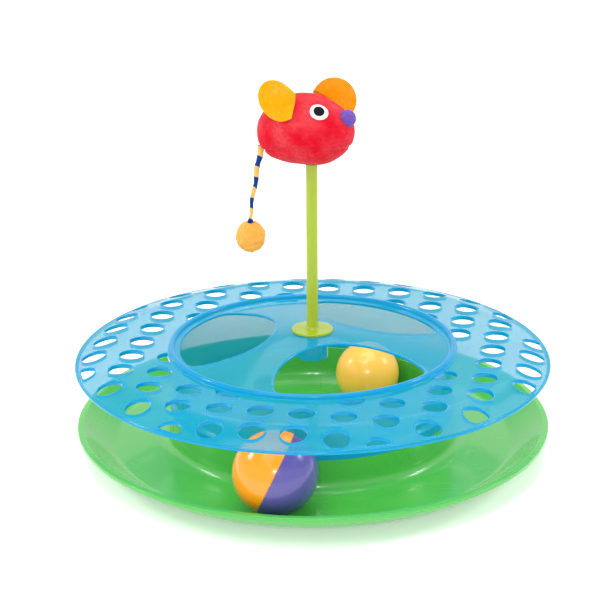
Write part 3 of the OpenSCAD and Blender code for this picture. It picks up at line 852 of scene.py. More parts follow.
def add_rims(shape, s, form):
    """The bead round the skirt, and the ring with its crest down to the dome's edge. The ring's weight starts
    and ends at 0, so that it doesn't run out into the sheets."""
    bead = arc((s.bead_x, s.bead_z), s.bead_r, 95, -170, 16)
    shape.turn(bead, np.sin(np.linspace(0, math.pi, len(bead))) * BEAD_WEIGHT)
    crest_z = s.ring_top_z - s.crest_r
    lip_r = form.mid_r - s.crest_r
    foot = float(form.deck_top(s.ring_r + form.band))
    side = np.concatenate([
        rounded([(s.ring_r + form.band, foot), (s.ring_r, foot, form.fillet), (s.ring_r, crest_z)]),
        arc((form.mid_r, crest_z), s.crest_r, 0, 180, 14)[1:],
        swept((lip_r, crest_z), (lip_r, form.dome_top(lip_r)), (form.dome_out, form.dome_top(form.dome_out)),
              6)[1:],
    ])
    weight = np.clip((side[:, 1] - s.deck_z) / (1 * MM), RING_WEIGHT, 1)
    weight[[0, -1]] = 0
    shape.turn(side, weight)


def add_dome(shape, s, form):
    """The dome: two sheets with the walls of the three paw openings."""
    a = s.opening_turn + angles(3)
    way = np.stack([np.cos(a), np.sin(a)], -1)
    middles, hubs = way * s.opening_reach, way * (s.opening_reach - 0.45 * s.opening_r)

    def outline_at(wide):
        return star_outlines(middles, hubs, s.opening_r + wide, 1 * MM, s.opening_limit + wide, OPENING_STEPS,
                             OPENING_POWER)

    rim_round = s.wall / 2 - 0.05 * MM
    wide = outline_at(rim_round)
    step = 3.6 * MM
    span = math.ceil(s.edge_r / step) + 4
    i, j = np.meshgrid(np.arange(-span, span + 1), np.arange(-span, span + 1), indexing="ij")
    mesh = np.stack([(i + j / 2).ravel() * step, j.ravel() * step * math.sqrt(0.75)], -1)
    mesh = clear_of(between(mesh, form.dome_in + step / 2, form.dome_out - step / 2), hubs, wide, margin=2.4 * MM)
    collars = between(outline_at(rim_round + 1 * MM).reshape(-1, 2), 0, form.dome_out - 0.5 * MM)
    inside = np.concatenate([mesh, collars])
    for height in (form.dome_top, form.dome_under):
        points, tris = cut_sheet(form.dome_in, form.dome_out, hubs, wide, inside, height)
        shape.add(points, tris=tris)
    grid, quads = cut_walls(outline_at, form.dome_top, form.dome_under, rim_round, 5)
    shape.add(grid, quads, weight=OPENING_WEIGHT)


def add_socket(shape, s, form):
    """The post's socket below the hub."""
    tube_r, foot_z = s.socket_r + s.socket_wall, s.hub_z - s.socket_l
    hub_in, under_hub = form.dome_in, form.dome_under(form.dome_in)
    socket = rounded([
        (hub_in, form.dome_top(hub_in)), (s.socket_r, s.hub_z, 0.5 * MM), (s.socket_r, foot_z, 0.5 * MM),
        (tube_r, foot_z, 0.8 * MM), (tube_r, under_hub, 1.2 * MM), (hub_in, under_hub)])
    shape.turn(socket, SOCKET_WEIGHT * np.clip((s.hub_z - socket[:, 1]) / (6 * MM), 0, 1))


def add_drum(shape, s, form):
    """The drum wall from the dome's edge down to its foot on the bowl, the collar that goes over the bowl's
    rim, and the way back up to the deck."""
    drum_in = form.mid_r - s.crest_r
    collar_in, collar_foot = s.drum_r + 0.3 * MM, s.drum_foot_z - s.collar_h
    collar_wall = s.ring_r - collar_in
    head = float(form.deck_under(s.drum_r + form.band))
    drum = rounded([
        (form.dome_out, form.dome_under(form.dome_out)), (drum_in, form.dome_under(drum_in), 1 * MM),
        (drum_in, s.drum_foot_z, 0.4 * MM), (collar_in, s.drum_foot_z), (collar_in, collar_foot, 0.3 * MM),
        (s.ring_r, collar_foot, 0.6 * MM), (s.ring_r, s.drum_foot_z + collar_wall, 0.8 * MM),
        (s.drum_r, s.drum_foot_z + 2 * collar_wall, 1 * MM), (s.drum_r, head, form.fillet),
        (s.drum_r + form.band, head)])
    low = np.clip((s.drum_foot_z + 3 * MM - drum[:, 1]) / (4 * MM), 0, 1)
    shape.turn(drum, DRUM_WEIGHT + DRUM_FOOT_WEIGHT * low)


class CATTOY_OT_lid(bpy.types.Operator):
    """Builds the clear lid with its holes, ring, dome, paw openings, socket, drum and collar"""

    bl_idname = "cattoy.lid"
    bl_label = "Clear lid"

    def execute(self, context):
        s, shape = context.scene.toy_lid, Surface()
        form = LidShape(s)
        for add in (add_deck, add_rims, add_dome, add_socket, add_drum):
            add(shape, s, form)
        clear = clear_lid_material(context.scene.toy_colours)
        put("lid_moulding", shape, clear, "lid", "blue_clear", "track_lid", "lid_drum", "lid_dome",
            sharp=LID_HARD_ANGLE)
        return {"FINISHED"}


# Post and balls

BALL_GAP = 0.3 * MM    # between a ball and the floor that it rolls on
OUTER_BEVEL, INNER_BEVEL = 0.45 * MM, 0.08 * MM    # along the balls' seams


class CATTOY_OT_post(bpy.types.Operator):
    """Builds the lime post with its spigot and flange"""

    bl_idname = "cattoy.post"
    bl_label = "Post"

    def execute(self, context):
        s, colours, hub = context.scene.toy_post, context.scene.toy_colours, context.scene.toy_lid.hub_z
        foot, top = hub - s.spigot_l, hub + s.flange_t
        side = np.concatenate([
            rounded([(0, foot), (s.spigot_r, foot, 1 * MM), (s.spigot_r, hub, 0.2 * MM),
                     (s.flange_r, hub, 0.3 * MM), (s.flange_r, top, 0.8 * MM),
                     (s.radius + 2 * s.flange_t, top)])[:-1],
            swept((s.radius + s.flange_t, top), (s.radius, top), (s.radius, top + 2 * s.flange_t), 8),
            rounded([(s.radius, top + 3 * s.flange_t), (s.radius, s.tip_z, 1.2 * MM), (0, s.tip_z)]),
        ])
        lime = moulded("post_lime_plastic", colours.lime, gloss=0.26, uneven=0.02, scuffs=0.0, bump=0.006,
                       coat=0.25)
        shape = surface_of(turned(side, POST_STEPS), Matrix())
        put("post_moulding", shape, lime, "post", "lime_plastic", "toy_post", sharp=HARD_ANGLE)
        return {"FINISHED"}


def half_ball_profile(radius, wall, bevel):
    """Outline (r, z) of a hollow half ball with its pole up: outside, a small bevel that makes half of the
    seam's groove, the face that meets the other half, and the inside."""
    low = math.degrees(bevel / radius)
    return np.concatenate([
        arc((0, 0), radius, 90, low, 40), [[radius - 0.7 * bevel, 0.25 * bevel], [radius - 0.8 * bevel, 0]],
        arc((0, 0), radius - wall, 0, 90, 24)])


class CATTOY_OT_balls(bpy.types.Operator):
    """Builds the halves of the outer and the inner ball"""

    bl_idname = "cattoy.balls"
    bl_label = "Balls"

    def execute(self, context):
        s, colours = context.scene.toy_balls, context.scene.toy_colours
        floor = context.scene.toy_tray.floor_z + BALL_GAP
        orange = moulded("ball_orange_plastic", colours.orange, gloss=0.22, uneven=0.05, coat=0.35)
        # Painted light: the inner ball gets its own paler orange in place of the outer ball's, to stand in for light
        # under the dome.
        pale = moulded("inner_ball_orange_painted_lighter", colours.inner_orange_painted_lighter, gloss=0.3, uneven=0.04, coat=0.6)
        purple = moulded("ball_purple_plastic", colours.purple, gloss=0.22, uneven=0.05, coat=0.35)
        outer = (Matrix.Rotation(s.outer_turn, 4, "Z") @ Matrix.Translation((s.outer_orbit, 0, floor + s.outer_r))
                 @ Matrix.Rotation(s.seam_turn - s.outer_turn, 4, "Z")
                 @ Matrix.Rotation(math.radians(90) + s.seam_dip, 4, "Y"))
        inner = Matrix.Rotation(s.inner_turn, 4, "Z") @ Matrix.Translation((s.inner_orbit, 0, floor + s.inner_r))
        over = Matrix.Rotation(math.pi, 4, "X")
        for ball, half, radius, bevel, place, plastic, slot in (
                ("outer_ball", "purple", s.outer_r, OUTER_BEVEL, outer, purple, "purple_plastic"),
                ("outer_ball", "orange", s.outer_r, OUTER_BEVEL, outer @ over, orange, "orange_plastic"),
                ("inner_ball", "upper", s.inner_r, INNER_BEVEL, inner, pale, "orange_plastic"),
                ("inner_ball", "lower", s.inner_r, INNER_BEVEL, inner @ over, pale, "orange_plastic")):
            shape = surface_of(turned(half_ball_profile(radius, s.wall, bevel), BALL_STEPS), place)
            put(f"{ball}_half_{half}", shape, plastic, ball, slot, f"{ball}_{half}", sharp=HARD_ANGLE)
        return {"FINISHED"}


# Mouse

# Rows of the mouse's outline: place along the length, then top, underside and width, as shares of the mouse
MOUSE_SHARES = np.array([
    (0, 0.455, 0.43, 0), (0.008, 0.55, 0.33, 0.28), (0.035, 0.65, 0.23, 0.5), (0.09, 0.76, 0.13, 0.7),
    (0.18, 0.88, 0.05, 0.87), (0.34, 0.98, 0.01, 0.98), (0.54, 1, 0, 1), (0.72, 0.93, 0.03, 0.9),
    (0.86, 0.82, 0.14, 0.7), (0.945, 0.7, 0.27, 0.48), (0.985, 0.6, 0.37, 0.27), (1, 0.5, 0.47, 0)])
BODY_SIDES, PATCH_SIDES, CORD_SIDES = 144, 64, 28
NOSE_STEPS, NOSE_SIDES = 40, 72
KNOT_STEPS, KNOT_SIDES = 120, 12
FLEECE_STEPS, FLEECE_SIDES = 96, 160
SQUARENESS = 2.4
# Height of the belly seam at rump and snout, and its bulge between them, as shares of the height
SEAM_SHARES = (0.15, 0.29)
SEAM_BULGE_SHARE = 0.2
# Place of the nose and start of the eyes' axes, as shares of length and height
NOSE_SHARES = (0.385, 0.71)
EYE_START_SHARES = (0.135, 0.5)

# Tail route in the mouse's own frame, in millimetres, from the rump to the knot
TAIL_ROUTE = np.array([
    (-37.5, -6, 10.5), (-38.2, -6.3, 3.5), (-39.4, -6.9, -4), (-40.6, -7.4, -12), (-41.8, -8, -20),
    (-43, -8.5, -28), (-44.2, -9.1, -36), (-45, -9.5, -44.5)])
TAIL_BANDS = 7


def squared(v):
    """Signed power 2 / n that squares off a round section."""
    return np.sign(v) * np.abs(v) ** (2 / SQUARENESS)


class MouseShape:
    """The stuffed mouse as a surface of two parameters: the place x along it and the angle a round it."""

    def __init__(self, s):
        self.s = s
        self.back = s.long * 5 / 9
        mirrored = [r[[0, 2, 1, 3]] * (1, 1, 1, -1) for r in (MOUSE_SHARES[1], MOUSE_SHARES[-2])]
        self.rows = smooth_rows(np.concatenate([[mirrored[0]], MOUSE_SHARES, [mirrored[1]]]), 10)
        self.rows[:, 0] = np.maximum.accumulate(np.clip(self.rows[:, 0], 0, 1))
        self.frame = Matrix.Translation((0, 0, s.belly_z)) @ Matrix.Rotation(s.turn, 4, "Z")

    def sizes(self, top, low, wide):
        """Middle height, half height and half width of a section from its shares."""
        s = self.s
        return (top + low) / 2 * s.high, (top - low) / 2 * s.high, np.maximum(wide, 0) * s.wide / 2

    def section(self, x):
        """Middle height, half height and half width of the section at x."""
        share = (np.asarray(x) + self.back) / self.s.long
        return self.sizes(*(np.interp(share, self.rows[:, 0], self.rows[:, k]) for k in (1, 2, 3)))

    def ring(self, x, a, middle, half, wide):
        """Surface point: y = half width * cos(a)^(2/n) and z = middle + half height * sin(a)^(2/n)."""
        return np.stack(np.broadcast_arrays(x, wide * squared(np.cos(a)), middle + half * squared(np.sin(a))), -1)

    def onto(self, points):
        """The surface points that lie straight out from the section's middle through the given points."""
        middle, half, wide = self.section(points[..., 0])
        y = points[..., 1] / np.maximum(wide, 1e-6)
        z = (points[..., 2] - middle) / np.maximum(half, 1e-6)
        power = SQUARENESS / 2
        a = np.arctan2(np.sign(z) * np.abs(z) ** power, np.sign(y) * np.abs(y) ** power)
        return self.ring(points[..., 0], a, middle, half, wide)

    def clear(self, points, gap):
        """Points that lie inside the skin or nearer to it than the gap go out to it, along the line from the
        section's middle."""
        heart = np.stack([points[:, 0], 0 * points[:, 0], self.section(points[:, 0])[0]], -1)
        out = points - heart
        far = np.linalg.norm(out, axis=1)
        skin = np.linalg.norm(self.onto(points) - heart, axis=1) + gap
        return heart + out * (np.maximum(far, skin) / np.maximum(far, 1e-6))[:, None]

    def seam_z(self, x):
        """Height of the belly seam: rising evenly from rump to snout, with a bulge of b t (1 - t)."""
        low, high = SEAM_SHARES
        t = np.clip((x + self.back) / self.s.long, 0, 1)
        return self.s.high * (low + (high - low) * t + SEAM_BULGE_SHARE * t * (1 - t))


def soft_body(form):
    """The mouse's cloth: sections along its outline, pulled in along the belly seam by a bell curve, with
    puckers that fade away from the seam, uneven filling and a fine pile, all as lattice noise."""
    rows = form.rows
    a = angles(BODY_SIDES)
    x = rows[:, 0] * form.s.long - form.back
    middle, half, wide = form.sizes(*rows.T[1:])
    grid = form.ring(x[:, None], a, middle[:, None], half[:, None], wide[:, None])
    out = unit(grid - np.stack([np.clip(x, -20 * MM, 12 * MM), 0 * x, middle], -1)[:, None])
    gap = grid[..., 2] - form.seam_z(grid[..., 0])
    along = np.arctan2(grid[..., 1], grid[..., 0])
    wave = lattice_noise(np.stack([np.cos(along) * 30, np.sin(along) * 30, 0 * along], -1), 2.6, 5)
    pinch = 1.1 * MM * np.exp(-(gap / (1.3 * MM)) ** 2)
    pucker = 0.5 * MM * wave * np.exp(-np.abs(gap) / (5 * MM)) * (1 - np.exp(-(gap / (1.2 * MM)) ** 2))
    lumps = 0.45 * MM * lattice_noise(grid, 14 * MM, 3)
    pile = 0.12 * MM * lattice_noise(grid, 0.9 * MM, 8)
    grid = grid + out * (pucker + lumps + pile - pinch)[..., None]
    grid[0], grid[-1] = grid[0].mean(0), grid[-1].mean(0)
    return grid


class CATTOY_OT_mouse(bpy.types.Operator):
    """Builds the stuffed mouse's plush body with its belly seam"""

    bl_idname = "cattoy.mouse"
    bl_label = "Mouse body"

    def execute(self, context):
        form = MouseShape(context.scene.toy_mouse)
        plush = cloth("mouse_red_plush", context.scene.toy_colours.red, (168, 12, 28), size=1700, clumps=420,
                      contrast=0.45, bump=0.3, sheen=0.2, rough_sheen=0.45, mottle=0.045)
        shape = surface_of(soft_body(form), form.frame)
        body = put("mouse_plush", shape, plush, "mouse", "red_plush", "mouse_body", "mouse_belly")
        return {"FINISHED"}


def ear_grid(radius, long, t, cup, curl, lean):
    """A felt ear as a closed slab that runs along X from its seam. Its half width goes from a share of the
    radius at the seam up to the radius, as a sine, and then round to the tip as a circle; its edge is a
    half round of half the felt's thickness t. It leans sideways by lean times x, and it is bent:
    z = cup y^2 / R + curl x^2 / R."""
    quarter = math.pi / 2
    x = long * np.concatenate([np.linspace(0, 0.5, 15)[:-1], 0.5 + 0.5 * np.sin(np.linspace(0, quarter, 26))])
    root, mid = 0.66 * radius, long - radius
    wide = np.where(x < mid, root + (radius - root) * np.sin(quarter * np.clip(x / mid, 0, 1)),
                    np.sqrt(np.maximum(radius ** 2 - (x - mid) ** 2, 0)))
    thick = t * np.minimum(1, np.sqrt(wide / t))
    across = np.concatenate([np.linspace(-1, 1, 15), np.ones(5), np.linspace(1, -1, 15), -np.ones(5)])
    b = np.radians(np.concatenate([np.full(15, 90.0), np.linspace(60, -60, 5), np.full(15, -90.0),
                                   np.linspace(-120, -240, 5)]))
    edge = np.minimum(wide, thick)[:, None]
    y = across * np.maximum(wide[:, None] - edge, 0) + edge * np.cos(b)
    x = np.broadcast_to(x[:, None], y.shape)
    y = y + lean * x
    grid = np.stack([x, y, thick[:, None] * np.sin(b) + cup * y ** 2 / radius + curl * x ** 2 / radius], -1)
    return np.concatenate([grid[:1].mean(1, keepdims=True).repeat(grid.shape[1], 1), grid])


class CATTOY_OT_ears(bpy.types.Operator):
    """Builds the two felt ears"""

    bl_idname = "cattoy.ears"
    bl_label = "Ears"

    def execute(self, context):
        s, colours = context.scene.toy_mouse, context.scene.toy_colours
        form = MouseShape(s)
        felt = {"size": 1300, "clumps": 420, "contrast": 0.45, "bump": 0.12, "sheen": 0.3}
        near = cloth("ear_yellow_felt", colours.ear_front, (214, 124, 10), **felt)
        far = cloth("ear_orange_felt", colours.ear_back, (206, 104, 14), **felt)
        # Each ear: side, place as shares of the mouse, turns about X, Y and Z, felt, slot, size, and its bends
        ears = (
            ("near", (-0.074, -0.362, 0.885), (-75.6, -4.9, -156.3), near, "yellow_felt", 0.92, (0.06, -0.06, -0.26)),
            ("far", (0.075, 0.29, 0.6), (57.5, -62.5, 54.5), far, "orange_felt", 1.07, (0.08, -0.05, 0.0)),
        )
        for side, share, turns, material, slot, size, bends in ears:
            wide, long = s.ear_d * size, s.ear_d * 0.96 * size
            grid = ear_grid(wide / 2, long, s.ear_t / 2, *bends)
            fuzz = np.stack([0 * grid[..., 0], 0 * grid[..., 0], 0.08 * MM * lattice_noise(grid, 1.1 * MM, 11)], -1)
            place = Matrix.Translation((share[0] * s.long, share[1] * s.wide, share[2] * s.high))
            for axis, turn in zip("ZYX", turns[::-1]):
                place = place @ Matrix.Rotation(math.radians(turn), 4, axis)
            ear = surface_of(grid + fuzz, place)
            rise = 0.3 * MM + s.ear_t / 2 + grid[..., 2].ravel()
            ear.points = [form.clear(p, rise) for p in ear.points]
            ear.place(form.frame)
            piece = put(f"felt_ear_{side}", ear, material, "mouse", slot, f"ear_{side}")
        return {"FINISHED"}


def patch_grid(form, side, radius, low, high):
    """A round felt patch that lies on the head: a disc in the tangent plane where the eye's axis leaves the
    head, laid onto the surface and raised from low to high with a rounded rim."""
    turn, tilt = math.radians(80) * side, math.radians(50 + 10 * side)
    axis = np.array([math.sin(tilt) * math.cos(turn), math.sin(tilt) * math.sin(turn), math.cos(tilt)])
    start = np.array([EYE_START_SHARES[0] * form.s.long, 0, EYE_START_SHARES[1] * form.s.high])
    line = start + np.linspace(5 * MM, 30 * MM, 400)[:, None] * axis
    middle, half, wide = form.section(line[:, 0])
    out = np.abs(line[:, 1] / wide) ** SQUARENESS + np.abs((line[:, 2] - middle) / half) ** SQUARENESS
    centre = line[np.argmax(out > 1)]
    across = unit(np.cross(axis, [1, 0, 0]))
    up = np.cross(axis, across)
    t = np.linspace(0, 1, 12)
    rim = np.concatenate([
        np.stack([t * (radius - 0.35 * MM), np.full(12, high)], -1),
        [[radius - 0.1 * MM, high - 0.12 * MM], [radius, high - 0.4 * MM], [radius, low]],
        np.stack([t[::-1] * radius, np.full(12, low)], -1)])
    a = angles(PATCH_SIDES)[None, :, None]
    disc = centre + rim[:, :1, None] * (np.cos(a) * across + np.sin(a) * up)
    skin = form.onto(disc)
    heart = np.stack([skin[..., 0] * 0.5, 0 * skin[..., 1], form.section(skin[..., 0])[0]], -1)
    return skin + unit(skin - heart) * rim[:, 1][:, None, None]


class CATTOY_OT_face(bpy.types.Operator):
    """Builds the mouse's eyes and nose"""

    bl_idname = "cattoy.face"
    bl_label = "Eyes and nose"

    def execute(self, context):
        s, colours = context.scene.toy_mouse, context.scene.toy_colours
        form = MouseShape(s)
        felt = {"size": 1500, "clumps": 500, "bump": 0.08}
        white = cloth("eye_white_felt", srgb(244, 244, 240), (205, 205, 200), contrast=0.4, sheen=0.2, **felt)
        black = cloth("pupil_black_felt", srgb(22, 21, 24), (6, 6, 8), contrast=0.5, sheen=0.25, **felt)
        purple = cloth("nose_purple_felt", colours.nose, (70, 48, 122), size=1400, clumps=380, contrast=0.5,
                       bump=0.12, sheen=0.35)
        layers = (
            ("white", s.eye_d / 2, 0.0, s.patch_t, white, "white_felt", "eye_white"),
            ("pupil", s.pupil_d / 2, s.patch_t * 0.9, s.patch_t * 2, black, "black_felt", "pupil"),
        )
        for side, sign in (("near", -1), ("far", 1)):
            for label, radius, low, high, material, slot, part in layers:
                patch = surface_of(patch_grid(form, sign, radius, low, high), form.frame)
                put(f"felt_eye_{label}_{side}", patch, material, "mouse", slot, f"{part}_{side}")
        grid = turned(arc((0, 0), s.nose_d / 2, 90, -90, NOSE_STEPS), NOSE_SIDES)
        grid = grid * (1 + 0.02 * lattice_noise(grid, 3 * MM, 21))[..., None]
        place = Matrix.Translation((NOSE_SHARES[0] * s.long, 0, NOSE_SHARES[1] * s.high))
        put("felt_nose", surface_of(grid, form.frame @ place), purple, "mouse", "purple_felt", "nose")
        return {"FINISHED"}


class TailLine:
    """The tail's cord: its smooth path in the mouse's frame, its frames and its turns, one for each band."""

    def __init__(self, s):
        first, last = 2 * TAIL_ROUTE[0] - TAIL_ROUTE[1], 2 * TAIL_ROUTE[-1] - TAIL_ROUTE[-2]
        self.path = smooth_rows(np.concatenate([[first], TAIL_ROUTE, [last]]) * MM, 12)
        run = np.concatenate([[0], np.cumsum(np.linalg.norm(np.diff(self.path, axis=0), axis=1))])
        self.radii = (s.tail_root_d + (s.tail_end_d - s.tail_root_d) * run / run[-1]) / 2
        self.turns = run / run[-1] * TAIL_BANDS

    def frames(self, path):
        """Directions across and up that stand square to the run of a path."""
        run = unit(np.gradient(path, axis=0))
        across = unit(np.cross(run, [0, 1, 0]))
        return across, np.cross(run, across)

    def grid(self, sides):
        """Rings round the path, which sways a little: two strands make the radius 1 - 0.14 (1 - |cos(a + pi
        turns)|), and each band swells as sin(pi turns)."""
        a = angles(sides)
        strands = 1 - 0.14 * (1 - np.abs(np.cos(a + math.pi * self.turns[:, None])))
        radii = self.radii * (1 + 0.07 * np.sin(self.turns * math.pi))
        path = self.path + 0.45 * MM * np.sin(self.turns * 2.2)[:, None] * np.array([[1, 0.4, 0]])
        rings = tube(path, *self.frames(path), (radii[:, None] * strands)[..., None], sides)
        ends = [end[None, None].repeat(sides, 1) for end in (self.path[0], self.path[-1])]
        return np.concatenate([ends[0], rings, ends[1]])

    def add_uv(self, mesh, matrix):
        """Adds the UV map that counts the bands along the cord in u and goes once round it in v, with no
        face across the step in v."""
        inverse = np.linalg.inv(np.array(matrix))
        co = np.zeros(len(mesh.vertices) * 3)
        mesh.vertices.foreach_get("co", co)
        local = co.reshape(-1, 3) @ inverse[:3, :3].T + inverse[:3, 3]
        near = np.argmin(np.linalg.norm(local[:, None] - self.path[None], axis=2), axis=1)
        step = local - self.path[near]
        across, up = (way[near] for way in self.frames(self.path))
        round_it = np.arctan2(np.sum(step * up, 1), np.sum(step * across, 1)) / TAU
        corners = np.zeros(len(mesh.loops), np.int32)
        mesh.loops.foreach_get("vertex_index", corners)
        starts = np.zeros(len(mesh.polygons), np.int32)
        mesh.polygons.foreach_get("loop_start", starts)
        u, v = self.turns[near][corners], round_it[corners]
        first = v[starts][np.repeat(np.arange(len(starts)), np.diff(np.append(starts, len(corners))))]
        v = v + (first - v > 0.5) - (v - first > 0.5)
        uv = mesh.uv_layers.new(name="along")
        uv.data.foreach_set("uv", np.stack([u, v], -1).astype(np.float32).ravel())


def knot_grid(s, high):
    """A trefoil knot of one strand: the loop (cos 2t, sin 2t) (0.72 + 0.28 cos 3t) that rises as sin 3t."""
    t = angles(KNOT_STEPS)
    strand = 0.19 * s.knot_d
    wide = (s.knot_d / 2 - strand) * (0.72 + 0.28 * np.cos(3 * t))
    loop = np.stack([wide * np.cos(2 * t), wide * np.sin(2 * t), (high / 2 - strand) * np.sin(3 * t)], -1)
    loop += TAIL_ROUTE[-1] * MM - np.array([0, 0, high / 2])
    way = unit(np.roll(loop, -1, 0) - np.roll(loop, 1, 0))
    side = unit(np.cross(way, loop - loop.mean(0)))
    return tube(loop, side, np.cross(way, side), strand, KNOT_SIDES)


def fleece_grid(radius):
    """A fleece ball: a sphere that is 1.08 times as high as wide, with tufts that make its radius R into
    R + 1 mm (tufts - 0.25), where tufts is the sum of lattice noise in three sizes."""
    grid = turned(arc((0, 0), radius, 90, -90, FLEECE_STEPS), FLEECE_SIDES)
    tufts = sum(share * lattice_noise(grid, size * MM, seed)
                for share, size, seed in ((0.55, 3.4, 31), (0.35, 1.5, 32), (0.2, 0.8, 33)))
    grid = grid * (1 + 1.0 * MM / radius * (tufts - 0.25))[..., None]
    grid[..., 2] *= 1.08
    grid[0], grid[-1] = grid[0].mean(0), grid[-1].mean(0)
    return grid


class CATTOY_OT_tail(bpy.types.Operator):
    """Builds the tail: its twisted cord, knot and fleece ball"""

    bl_idname = "cattoy.tail"
    bl_label = "Tail"

    def execute(self, context):
        s, colours = context.scene.toy_mouse, context.scene.toy_colours
        form, line = MouseShape(s), TailLine(s)
        cord = put("tail_cord_twisted", surface_of(line.grid(CORD_SIDES), form.frame), twisted_cord_material(colours),
                   "tail", "tail_cord", "tail_cord")
        line.add_uv(cord.data, form.frame)
        blue = cloth("knot_blue_cord", colours.navy, (2, 26, 84), size=1600, clumps=600, contrast=0.5,
                     bump=0.1, sheen=0.2)
        knot_h = s.knot_d * 0.8
        shape = surface_of(knot_grid(s, knot_h), form.frame, close_rows=True)
        knot = put("tail_knot_tied", shape, blue, "tail", "knot_blue", "tail_knot")
        tan = cloth("tail_tan_fleece", colours.fleece, (216, 140, 60), size=1300, clumps=420, contrast=0.55,
                    bump=0.35, sheen=0.4)
        radius = s.tail_ball_d / 2
        x, y, z = (TAIL_ROUTE[-1] + (-0.9, 2, 0.8)) * MM
        place = form.frame @ Matrix.Translation((x, y, z - knot_h - radius))
        ball = put("tail_ball_fleece", surface_of(fleece_grid(radius), place), tan, "tail", "tail_pile",
                   "tail_ball")
        route = [tuple(form.frame @ Vector(p)) for p in (TAIL_ROUTE * MM).tolist()]
        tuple(route[0])
        return {"FINISHED"}


class CATTOY_OT_sleeve(bpy.types.Operator):
    """Gives the plastic sleeve inside the mouse its material"""

    bl_idname = "cattoy.sleeve"
    bl_label = "Sleeve material"

    def execute(self, context):
        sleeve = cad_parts["mouse_sleeve"]
        sleeve.data.materials.clear()
        sleeve.data.materials.append(moulded("sleeve_red_plastic", srgb(150, 16, 30), gloss=0.5))
        return {"FINISHED"}


# Stage

# Each lamp: name, place, size in metres and power in watts. All of them face LAMP_AIM.
LAMP_AIM = Vector((0, 0, 0.08))
LAMPS = (
    ("key_softbox", (-0.7, -1.1, 1.9), 1.1, 11),
    ("top_softbox", (0.05, -0.15, 2.0), 1.5, 16),
    ("back_softbox", (0.3, 1.8, 1.9), 1.4, 9),
    ("left_softbox", (-1.7, 0.2, 1.2), 0.4, 9),
    ("right_softbox", (1.7, 0.2, 1.2), 0.4, 9),
    ("front_left_lamp", (-0.1, -1.75, 0.9), 0.09, 2.5),
    ("front_right_lamp", (0.07, -1.75, 0.9), 0.09, 2.5),
)
FLOOR_HALF = 15
SENSOR_WIDTH, PICTURE_WIDTH = 36, 600


def add_camera(s, scene):
    """The camera on its line back from the aim, rolled about it."""
    back = Vector((0, -math.cos(s.elevation), math.sin(s.elevation)))
    up, right = Vector((0, math.sin(s.elevation), math.cos(s.elevation))), Vector((1, 0, 0))
    c, n = math.cos(s.roll), math.sin(s.roll)
    right, up = right * c - up * n, right * n + up * c
    data = bpy.data.cameras.new("product_camera")
    data.sensor_width, data.lens = SENSOR_WIDTH, s.lens_px * SENSOR_WIDTH / PICTURE_WIDTH
    data.clip_start, data.clip_end = 0.05, 50
    scene.camera = add_object("product_camera", data)
    turn = Matrix((right, up, back)).transposed().to_4x4()
    scene.camera.matrix_world = Matrix.Translation(Vector(s.aim) + back * s.distance) @ turn


def add_floor(s):
    """The pale floor, which glows a little as a light table does."""
    mesh = bpy.data.meshes.new("pale_floor")
    corners = [(x * FLOOR_HALF, y * FLOOR_HALF, 0) for x, y in ((-1, -1), (1, -1), (1, 1), (-1, 1))]
    mesh.from_pydata(corners, [], [(0, 1, 2, 3)])
    made, tree, shader = blank("floor_pale_paper")
    fill(tree, shader, {
        "Base Color": ranged(tree, noise(tree, 40.0, 2.0), to_low=s.floor - 0.01, to_high=s.floor + 0.01),
        "Roughness": 0.9, "Specular IOR Level": 0.1, "Emission Color": (1, 1, 1, 1), "Emission Strength": s.glow})
    mesh.materials.append(made)
    add_object("pale_floor", mesh)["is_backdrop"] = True


def add_room(s, scene):
    """Even white light from all round, which falls to half its strength from low to high directions."""
    scene.world = bpy.data.worlds.new("soft_room")
    scene.world.use_nodes = True
    tree = scene.world.node_tree
    height = node(tree, "SeparateXYZ", {0: node(tree, "TexCoord").outputs["Generated"]}).outputs[2]
    strength = ranged(tree, height, 0.38, 0.62, s.world, 0.5 * s.world)
    fill(tree, tree.nodes["Background"], {"Color": (1, 1, 1, 1), "Strength": strength})


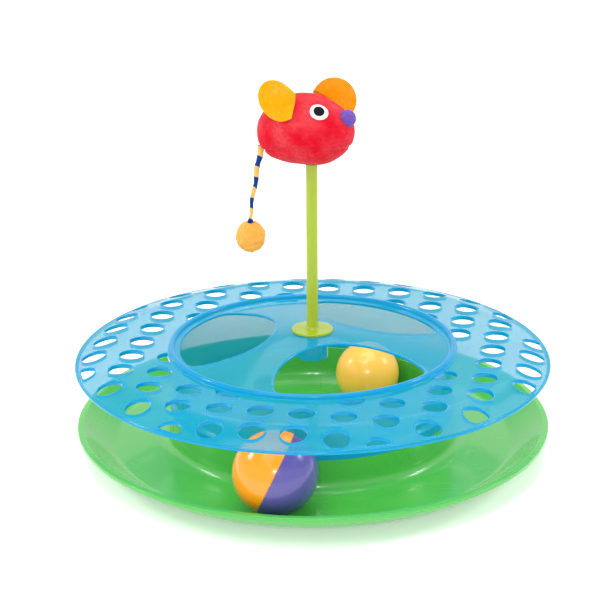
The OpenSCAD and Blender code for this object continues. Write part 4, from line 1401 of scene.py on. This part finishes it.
class CATTOY_OT_stage(bpy.types.Operator):
    """Builds the camera, the pale floor and the soft studio lights"""

    bl_idname = "cattoy.stage"
    bl_label = "Camera, floor and lights"

    def execute(self, context):
        s, scene = context.scene.toy_stage, context.scene
        add_camera(s, scene)
        add_floor(s)
        add_room(s, scene)
        for name, place, size, power in LAMPS:
            light = bpy.data.lights.new(name, "AREA")
            light.shape, light.size, light.energy = "SQUARE", size, power
            lamp = add_object(name, light)
            lamp.location = place
            lamp.rotation_euler = (LAMP_AIM - Vector(place)).to_track_quat("-Z", "Y").to_euler()
        scene.view_settings.view_transform = "Standard"
        scene.view_settings.look = "None"
        return {"FINISHED"}


class CATTOY_PT_panel(bpy.types.Panel):
    """Sidebar panel that lists the toy's sizes, colours and pieces"""

    bl_idname = "CATTOY_PT_panel"
    bl_label = "Cat ball track toy"
    bl_space_type = "VIEW_3D"
    bl_region_type = "UI"
    bl_category = "Cat Toy"

    def draw(self, context):
        column = self.layout.column()
        for operator in OPERATORS:
            column.operator(operator.bl_idname)
        for name in PROPERTY_GROUPS:
            values = getattr(context.scene, name)
            box = self.layout.box()
            box.label(text=name.replace("_", " ").capitalize())
            for key in values.__annotations__:
                box.prop(values, key)


OPERATORS = (
    CATTOY_OT_stage, CATTOY_OT_tail, CATTOY_OT_base, CATTOY_OT_feet, CATTOY_OT_lid, CATTOY_OT_post,
    CATTOY_OT_balls, CATTOY_OT_mouse, CATTOY_OT_ears, CATTOY_OT_face, CATTOY_OT_sleeve)


def register():
    for kind in (*PROPERTY_GROUPS.values(), *OPERATORS, CATTOY_PT_panel):
        bpy.utils.register_class(kind)
    for name, kind in PROPERTY_GROUPS.items():
        setattr(bpy.types.Scene, name, bpy.props.PointerProperty(type=kind))


def unregister():
    for name in PROPERTY_GROUPS:
        delattr(bpy.types.Scene, name)
    for kind in reversed((*PROPERTY_GROUPS.values(), *OPERATORS, CATTOY_PT_panel)):
        bpy.utils.unregister_class(kind)


def main():
    """Builds every piece in order."""
    register()
    bpy.ops.cattoy.stage()
    bpy.ops.cattoy.tail()
    bpy.ops.cattoy.base()
    bpy.ops.cattoy.feet()
    bpy.ops.cattoy.lid()
    bpy.ops.cattoy.post()
    bpy.ops.cattoy.balls()
    bpy.ops.cattoy.mouse()
    bpy.ops.cattoy.ears()
    bpy.ops.cattoy.face()
    bpy.ops.cattoy.sleeve()
    boxes = {"cad": CAD_BOX, "visual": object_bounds()}
    {k: [list(corner) for corner in v] for k, v in boxes.items()}


if __name__ == "__main__":
    main()
